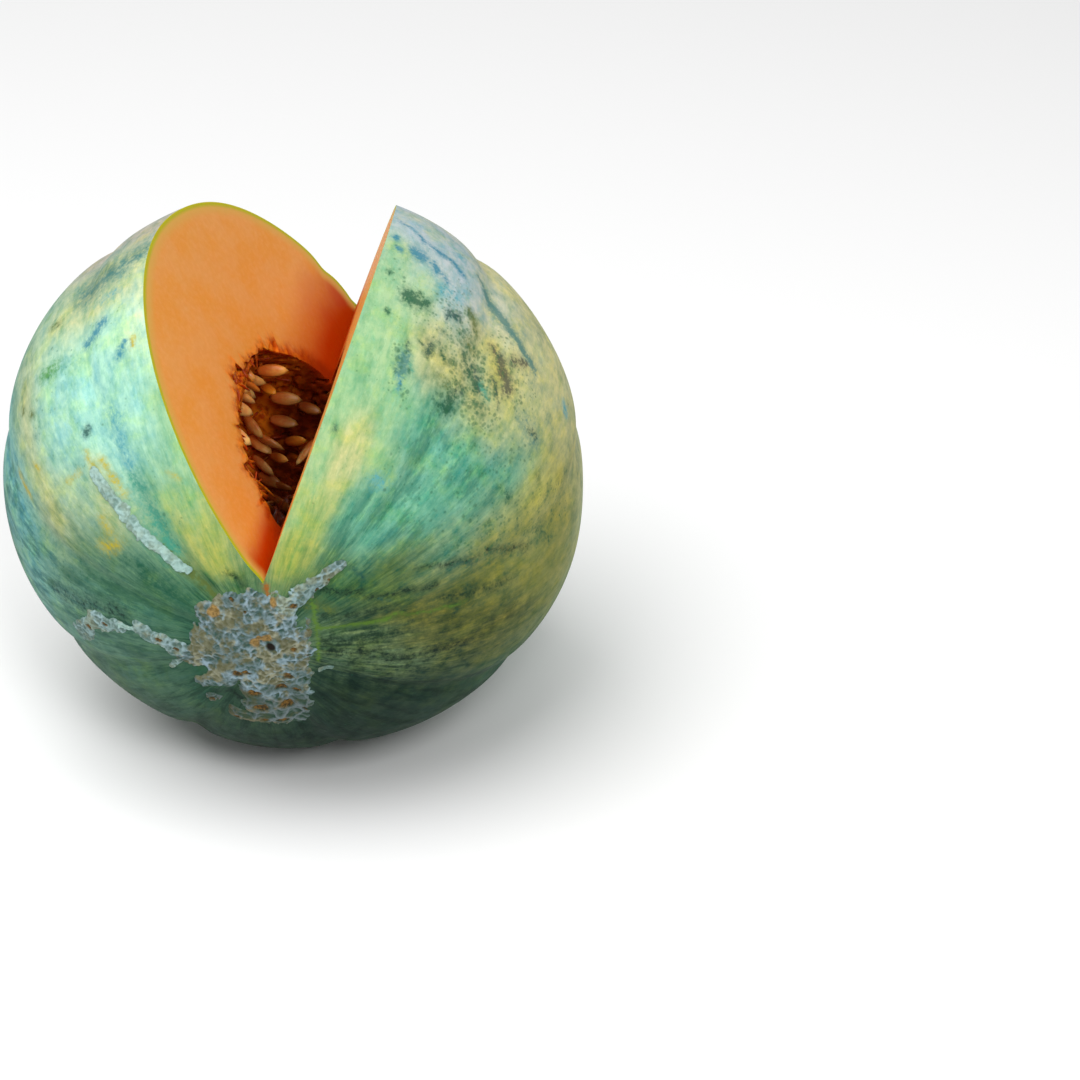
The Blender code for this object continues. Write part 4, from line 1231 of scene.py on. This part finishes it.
def waxy_rind():
    """Melon rind, grown, with a thin wax: satin, a pale ground, and pigment in specks along the ribs."""
    material, add = new_surface("waxy_rind", Roughness=0.55, IOR=1.45, Specular_IOR_Level=0.07)
    place = add("place", output="Object")
    grain = add("read", attribute_name="grain", output="Vector")
    ground, pigment, mark_colour = [
        add("read", attribute_name=name, output="Color") for name in ("ground", "pigment", "mark_colour")
    ]
    density, mark, crowding = [
        add("read", attribute_name=name, output="Fac") for name in ("pigment_share", "mark", "specks")
    ]
    # Noises along the ribs and on the spot: coarsest grain in millimetres, detail, roughness and shift
    streaks, fibres, clouds, cool, shade, dusky, sooty, glow = [
        add("noise", add("shift", grain, (shift,) * 3), scale_of(grain_mm), detail, roughness)
        for grain_mm, detail, roughness, shift in (
            (2.6, 4.0, 0.62, 0.0), (0.9, 3.0, 0.60, 0.3), (7.0, 4.0, 0.60, 3.3), (6.0, 5.0, 0.65, 1.7),
            (1.6, 4.0, 0.65, 5.0), (5.0, 5.0, 0.65, 7.0), (6.0, 5.0, 0.70, 9.0), (4.0, 5.0, 0.70, 11.0),
        )
    ]
    mottle, fine, warm, crumbs, pores = [
        add("noise", add("shift", place, (shift,) * 3), scale_of(grain_mm), detail, roughness)
        for grain_mm, detail, roughness, shift in (
            (4.2, 5.0, 0.62, 0.7), (1.1, 3.0, 0.60, 1.1), (9.0, 5.0, 0.62, 2.9), (0.5, 2.0, 0.60, 4.0),
            (0.7, 2.0, 0.60, 2.0),
        )
    ]
    share = vary(add, density, (streaks, 0.88), (fibres, 0.5), (mottle, 1.2), (clouds, 0.6), (fine, 0.5))
    colour = add("blend", share, ground, pigment)

    # Tints: what each rises with, from none to full between two values, its share in full, and its gains in
    # red, green and blue
    light = vary(add, 0.0, (fibres, 1.2), (fine, 0.9))
    for source, low, high, full, gains in (
        (warm, 0.46, 0.70, 0.60, (1.22, 1.10, 0.62)),
        (cool, 0.49, 0.70, 0.45, (0.82, 1.00, 1.28)),
        (light, 0.0, 0.28, 0.35, (1.40, 1.32, 1.36)),
        (shade, 0.48, 0.66, 0.32, (0.50, 0.70, 0.60)),
        (dusky, 0.50, 0.66, 0.38, (0.46, 0.68, 0.60)),
        (sooty, 0.47, 0.60, add("ramp", density, 0.35, 0.75, 0.0, 0.7), (0.24, 0.42, 0.42)),
        (glow, 0.50, 0.66, add("ramp", density, 0.35, 0.75, 0.0, 0.45), (2.00, 1.70, 1.30)),
    ):
        colour = add("tint", add("ramp", source, low, high, 0.0, full), colour, (*gains, 1.0))

    edge = vary(add, mark, (mottle, 0.9), (fine, 1.3), (crumbs, 0.5))
    for low, high, full in ((-0.75, 0.05, 0.35), (-0.18, 0.30, 0.76)):
        colour = add("blend", add("ramp", edge, low, high, 0.0, full), colour, mark_colour)
    crowd = vary(add, crowding, (mottle, 1.0))
    for grain_mm, shift, tone in ((1.7, 0.0, "#24543C"), (1.0, 0.6, "#2E6040")):
        distance = add("cells", add("shift", place, (shift,) * 3), scale_of(grain_mm), output="Distance")
        chance = add("channels", distance.node.outputs["Color"])
        size = add("product", add("difference", crowd, chance), 0.62)
        dots = add("ramp", add("difference", size, distance), -0.18, 0.14, 0.0, 0.46)
        colour = add("blend", dots, colour, tone)
    bump = add("bump", 0.5, 0.00012, None, add("weigh", mottle, 1.4, pores))
    rough = add("ramp", mottle, 0.3, 0.7, 0.48, 0.64, interpolation_type="LINEAR")
    return link_surface(material, Base_Color=colour, Normal=bump, Roughness=rough)


def cut_flesh():
    """Ripe orange flesh, cut with a knife: moist and dense, yellow-green under the rind, deep red-orange where
    it nears the hollow, and painted deep red as shade down in the wedge."""
    material, add = new_surface(
        "cut_flesh", Roughness=0.45, IOR=1.40, Specular_IOR_Level=0.06, Subsurface_Weight=0.40,
        Subsurface_Scale=0.005, Subsurface_Radius=(1.0, 0.38, 0.16),
    )
    place = add("place", output="Object")
    along_rim = add("read", attribute_name="along_rim", output="Vector")
    shaded, from_rind, from_hollow, pale = [
        add("read", attribute_name=name, output="Fac")
        for name in ("shaded", "from_rind", "from_hollow", "paleness")
    ]
    cloud, cells, strands, spotted = [
        add("noise", add("shift", vector, (shift,) * 3), scale_of(grain_mm), detail, roughness)
        for vector, grain_mm, detail, roughness, shift in (
            (place, 14.0, 3.0, 0.50, 0.0), (place, 1.6, 3.0, 0.60, 0.4), (along_rim, 3.0, 3.0, 0.62, 0.0),
            (place, 2.6, 2.0, 0.50, 0.9),
        )
    ]
    orange = add("blend", add("ramp", cloud, 0.35, 0.65), "#DC923E", "#DC9850")
    orange = add("blend", add("ramp", cells, 0.35, 0.75, 0.0, 0.25), orange, "#E8AC6E")
    # Painted shade: the knife faces turn deep red near the wedge's inner edge
    orange = add("blend", add("ramp", vary(add, shaded, (cloud, 0.4)), 0.08, 0.95), orange, "#B83C02")
    gold = add("blend", add("ramp", vary(add, from_rind, (cloud, 3.0)), 1.2, 5.4), "#CFA352", orange)
    rim = add("blend", add("ramp", from_rind, 0.5, 1.9), "#A9AD22", gold)
    patch = add("ramp", spotted, 0.36, 0.64)
    # Wall colours in painted shade and in painted light, which the painted light blends between
    shaded_wall, lit_wall = [
        add("blend", patch, *tones) for tones in (("#5A1A06", "#8C300A"), ("#B04206", "#F08018"))
    ]
    # Painted shade runs on over the wall beside the knife faces, and on the shaded faces the wall's dark colour
    # reaches farther out
    wall = add("blend", add("product", shaded, 0.9), add("blend", pale, shaded_wall, lit_wall), "#A83406")
    inner = add("weigh", shaded, -4.0, vary(add, from_hollow, (cells, 2.5), (strands, 7.5)))
    colour = add("blend", add("ramp", inner, -1.6, 4.0), wall, rim)
    bump = add("bump", 0.4, 0.0002, None, add("weigh", cloud, 2.0, cells))
    return link_surface(material, Base_Color=colour, Normal=bump)


def dry_cork():
    """Cork net that healed over cracks in the rind: dry and rough, blue-white on its ridges, green-brown between
    them and rusty in its pits."""
    material, add = new_surface("dry_cork", Roughness=0.85, IOR=1.45, Specular_IOR_Level=0.2)
    place = add("place", output="Object")
    cover, ridge, bare, pit, hole, closed, low = [
        add("read", attribute_name=name, output="Fac")
        for name in ("cover", "ridge", "bare", "pit", "hole", "closed", "low")
    ]
    grit, patch, dim = [
        add("noise", add("shift", place, (shift,) * 3), scale_of(grain_mm), detail, roughness)
        for grain_mm, detail, roughness, shift in (
            (0.9, 3.0, 0.55, 0.0), (5.0, 3.0, 0.60, 0.5), (8.0, 4.0, 0.60, 1.9),
        )
    ]
    pale = add("blend", add("ramp", patch, 0.46, 0.60), "#879DA8", "#8A8B74")
    pale = add("tint", add("ramp", dim, 0.46, 0.58, 0.0, 0.8), pale, (0.48, 0.50, 0.44, 1.0))
    # Painted shade in part: ridges and the floor between them are darker low on the melon
    pale = add("tint", add("product", low, 0.9), pale, (0.54, 0.48, 0.42, 1.0))
    pale = add("blend", closed, pale, "#A8C6BE")
    between = add("blend", add("ramp", patch, 0.44, 0.58), "#334F47", "#57583C")
    between = add("blend", add("ramp", grit, 0.40, 0.66, 0.0, 0.4), between, "#626251")
    between = add("blend", add("product", low, 0.7), between, "#26402E")
    colour = add("blend", add("ramp", vary(add, ridge, (grit, 0.6)), 0.0, 1.05), between, pale)
    gritty = add("ramp", grit, 0.36, 0.64)
    rusty, tan = add("blend", gritty, "#33260F", "#765420"), add("blend", gritty, "#6E5424", "#98783E")
    edge = add("ramp", vary(add, cover, (grit, 0.5)), 0.75, 0.35, 0.0, 0.6)
    for share, coat in (
        (add("product", closed, 0.6), "#8FB2A8"),
        (add("product", pit, 0.9), rusty),
        (add("product", bare, 0.9), tan),
        (hole, "#17110A"),
        (edge, "#466A52"),
    ):
        colour = add("blend", share, colour, coat)
    return link_surface(material, Base_Color=colour, Normal=add("bump", 0.5, 0.0003, None, grit))


def wet_pulp():
    """Stringy pulp round the seeds: wet, red-orange where it is thin, painted maroon in its creases and paler on
    its ridges as shade.
    """
    material, add = new_surface(
        "wet_pulp", Roughness=0.40, IOR=1.36, Subsurface_Weight=0.45, Subsurface_Scale=0.004,
        Subsurface_Radius=(1.0, 0.28, 0.10), Coat_Weight=0.12, Coat_Roughness=0.25,
    )
    crease, paleness_here = [add("read", attribute_name=name, output="Fac") for name in ("crease", "paleness")]
    fibre = add("noise", add("place", output="Object"), scale_of(1.6), 3.0, 0.6)
    # Painted shade and light: maroon down in the creases, paler on the ridges
    light = vary(add, crease, (fibre, 1.3))
    raised, ridged = add("ramp", light, -0.3, 0.25), add("ramp", light, 0.2, 0.5)
    deep, pale = [
        add("blend", ridged, add("blend", raised, crease_tone, raised_tone), ridge_tone)
        for crease_tone, raised_tone, ridge_tone in (
            ("#521A08", "#84320E", "#A05A22"), ("#A23604", "#F08018", "#FFA84C"),
        )
    ]
    # The painted light blends between the pulp's shaded and lit tones
    colour = add("blend", paleness_here, deep, pale)
    return link_surface(material, Base_Color=colour, Normal=add("bump", 0.6, 0.0004, None, fibre))


def seed_coat():
    """Ripe seeds in a wet film of pulp: tan to orange brown, glossy, redder towards the root, paler in painted
    light.
    """
    material, add = new_surface(
        "seed_coat", Roughness=0.38, IOR=1.33, Subsurface_Weight=0.35, Subsurface_Scale=0.003,
        Subsurface_Radius=(1.0, 0.5, 0.2), Coat_Weight=0.12, Coat_Roughness=0.2,
    )
    own_shade, towards_tip, paleness_here = [
        add("read", attribute_name=name, output="Fac") for name in ("own_shade", "towards_tip", "paleness")
    ]
    film = add("noise", add("place", output="Object"), scale_of(2.4), 3.0, 0.6)
    # Seed colours in painted shade and in painted light; the pulp film is paler in painted light too
    deep, pale = add("blend", own_shade, "#5E2C0A", "#925A20"), add("blend", own_shade, "#E88C24", "#FFC878")
    wet = add("ramp", add("difference", add("sum", film, 0.45), towards_tip), 0.0, 0.7, 0.0, 0.8)
    film_colour = add("blend", paleness_here, "#742406", "#D0560C")
    colour = add("blend", wet, add("blend", paleness_here, deep, pale), film_colour)
    return link_surface(material, Base_Color=colour, Normal=add("bump", 0.35, 0.0003, None, film))


# Camera, fitted to the photographed melon: its angles, how far it stands back, and how far the melon's middle
# lies to the left of and above the middle of the picture
CAMERA_AZIMUTH = 3.96
CAMERA_ELEVATION = 32.0
CAMERA_DISTANCE = 1.0053
CAMERA_RIGHT = 0.0708
CAMERA_UP = -0.0202
CAMERA_LENS = 115.4
SENSOR_WIDTH = 36.0

# Soft boxes: a name, where each stands and what it faces, its width and its power. Then the surround's strength,
# the paper's tone and half width, and how far it lies below the melon, so that the two don't share a plane
SOFT_BOXES = (
    ("key_box", (-0.35, -0.40, 1.45), (0.0, 0.0, 0.07), 1.3, 21.1),
    ("fill_box", (0.37, -0.94, 0.98), (0.0, 0.0, 0.09), 0.4, 6.5),
)
SURROUND_STRENGTH = 0.40
PAPER_TONE = 0.90
FLOOR_HALF_WIDTH = 6.0
FLOOR_DROP = 0.2 * MM


def aim_camera():
    """Stands the camera off from the melon's middle along its own axes, and makes it the scene's camera."""
    data = bpy.data.cameras.new("camera")
    data.lens = CAMERA_LENS
    data.sensor_width = SENSOR_WIDTH
    data.clip_start = 0.01
    camera = bpy.data.objects.new("camera", data)
    camera.rotation_euler = Euler((radians(90.0 - CAMERA_ELEVATION), 0.0, radians(CAMERA_AZIMUTH)))
    axes = np.array(camera.rotation_euler.to_matrix())
    offset = axes @ np.array([CAMERA_RIGHT, CAMERA_UP, CAMERA_DISTANCE])
    camera.location = MELON_CENTRE + offset
    bpy.context.scene.collection.objects.link(camera)
    bpy.context.scene.camera = camera


def add_light(name, position, target, size, power):
    """A square soft box that faces its target."""
    data = bpy.data.lights.new(name, "AREA")
    data.shape = "SQUARE"
    data.size = size
    data.energy = power
    light = bpy.data.objects.new(name, data)
    light.location = position
    away = np.array(target) - np.array(position)
    spin = np.arctan2(away[1], away[0]) - np.pi / 2.0
    tip = np.arctan2(np.hypot(away[0], away[1]), -away[2])
    light.rotation_euler = Euler((tip, 0.0, spin))
    bpy.context.scene.collection.objects.link(light)

def set_stage():
    """A pale paper floor, an even white surround and two soft boxes."""
    mesh = bpy.data.meshes.new("floor")
    half = FLOOR_HALF_WIDTH
    corners = [(x, y, -FLOOR_DROP) for x, y in ((-half, -half), (half, -half), (half, half), (-half, half))]
    mesh.from_pydata(corners, [], [(0, 1, 2, 3)])
    paper = (PAPER_TONE, PAPER_TONE, PAPER_TONE, 1.0)
    material, _ = new_surface("floor_paper", Roughness=0.9, Specular_IOR_Level=0.1, Base_Color=paper)
    mesh.materials.append(material)
    floor = bpy.data.objects.new("floor", mesh)
    bpy.context.scene.collection.objects.link(floor)

    world = bpy.data.worlds.new("surround")
    world.use_nodes = True
    world.node_tree.nodes["Background"].inputs["Color"].default_value = (1.0, 1.0, 1.0, 1.0)
    world.node_tree.nodes["Background"].inputs["Strength"].default_value = SURROUND_STRENGTH
    bpy.context.scene.world = world
    for soft_box in SOFT_BOXES:
        add_light(*soft_box)
    bpy.context.scene.view_settings.view_transform = "Standard"


def main():
    """Sets the stage, makes every piece with its materials, hangs each from the root, and hides the solid it
    stands for.
    """
    set_stage()
    aim_camera()
    melon = make_melon(waxy_rind(), cut_flesh())
    crust = make_cork(dry_cork())
    for piece in (melon, crust):
        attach(piece, "root")
    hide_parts("melon_body")
    pulp, coat = wet_pulp(), seed_coat()
    draw, more = np.random.default_rng(SEED_DRAW), np.random.default_rng(SEED_DRAW + 1)
    for name, band_angle, half_angle, lean, knife in BANDS:
        band = make_band(name, band_angle, half_angle, knife, pulp)
        families = [
            seed_places(band_angle, half_angle, lean, own_draw, family)
            for own_draw, family in zip((draw, more), SEED_FAMILIES)
        ]
        roots, frames, sizes = [np.concatenate(arrays) for arrays in zip(*families, front_seeds(name))]
        seeds = make_seeds(name, roots, frames, sizes, coat)

        # Shreds hang beside seeds of the first family, and at the hollow's border or ends
        beside = more.integers(0, len(families[0][0]), BAND_SHREDS)
        starts = roots[beside] + more.uniform(-SHRED_STRAY, SHRED_STRAY, (BAND_SHREDS, 3))
        ways = frames[beside][:, :, 2] + more.uniform(-0.7, 0.7, (BAND_SHREDS, 3))
        more_starts, more_ways = end_places(more) if knife is None else fringe_places(knife, more)
        starts, ways = np.concatenate([starts, more_starts]), np.concatenate([ways, more_ways])
        lengths = more.uniform(*SHRED_LENGTHS, len(starts)) * MM
        shreds = make_shreds(name, starts, ways, lengths, knife, pulp)
        for piece in (band, seeds, shreds):
            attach(piece, "root")
            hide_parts("seed_mass_" + name)


main()
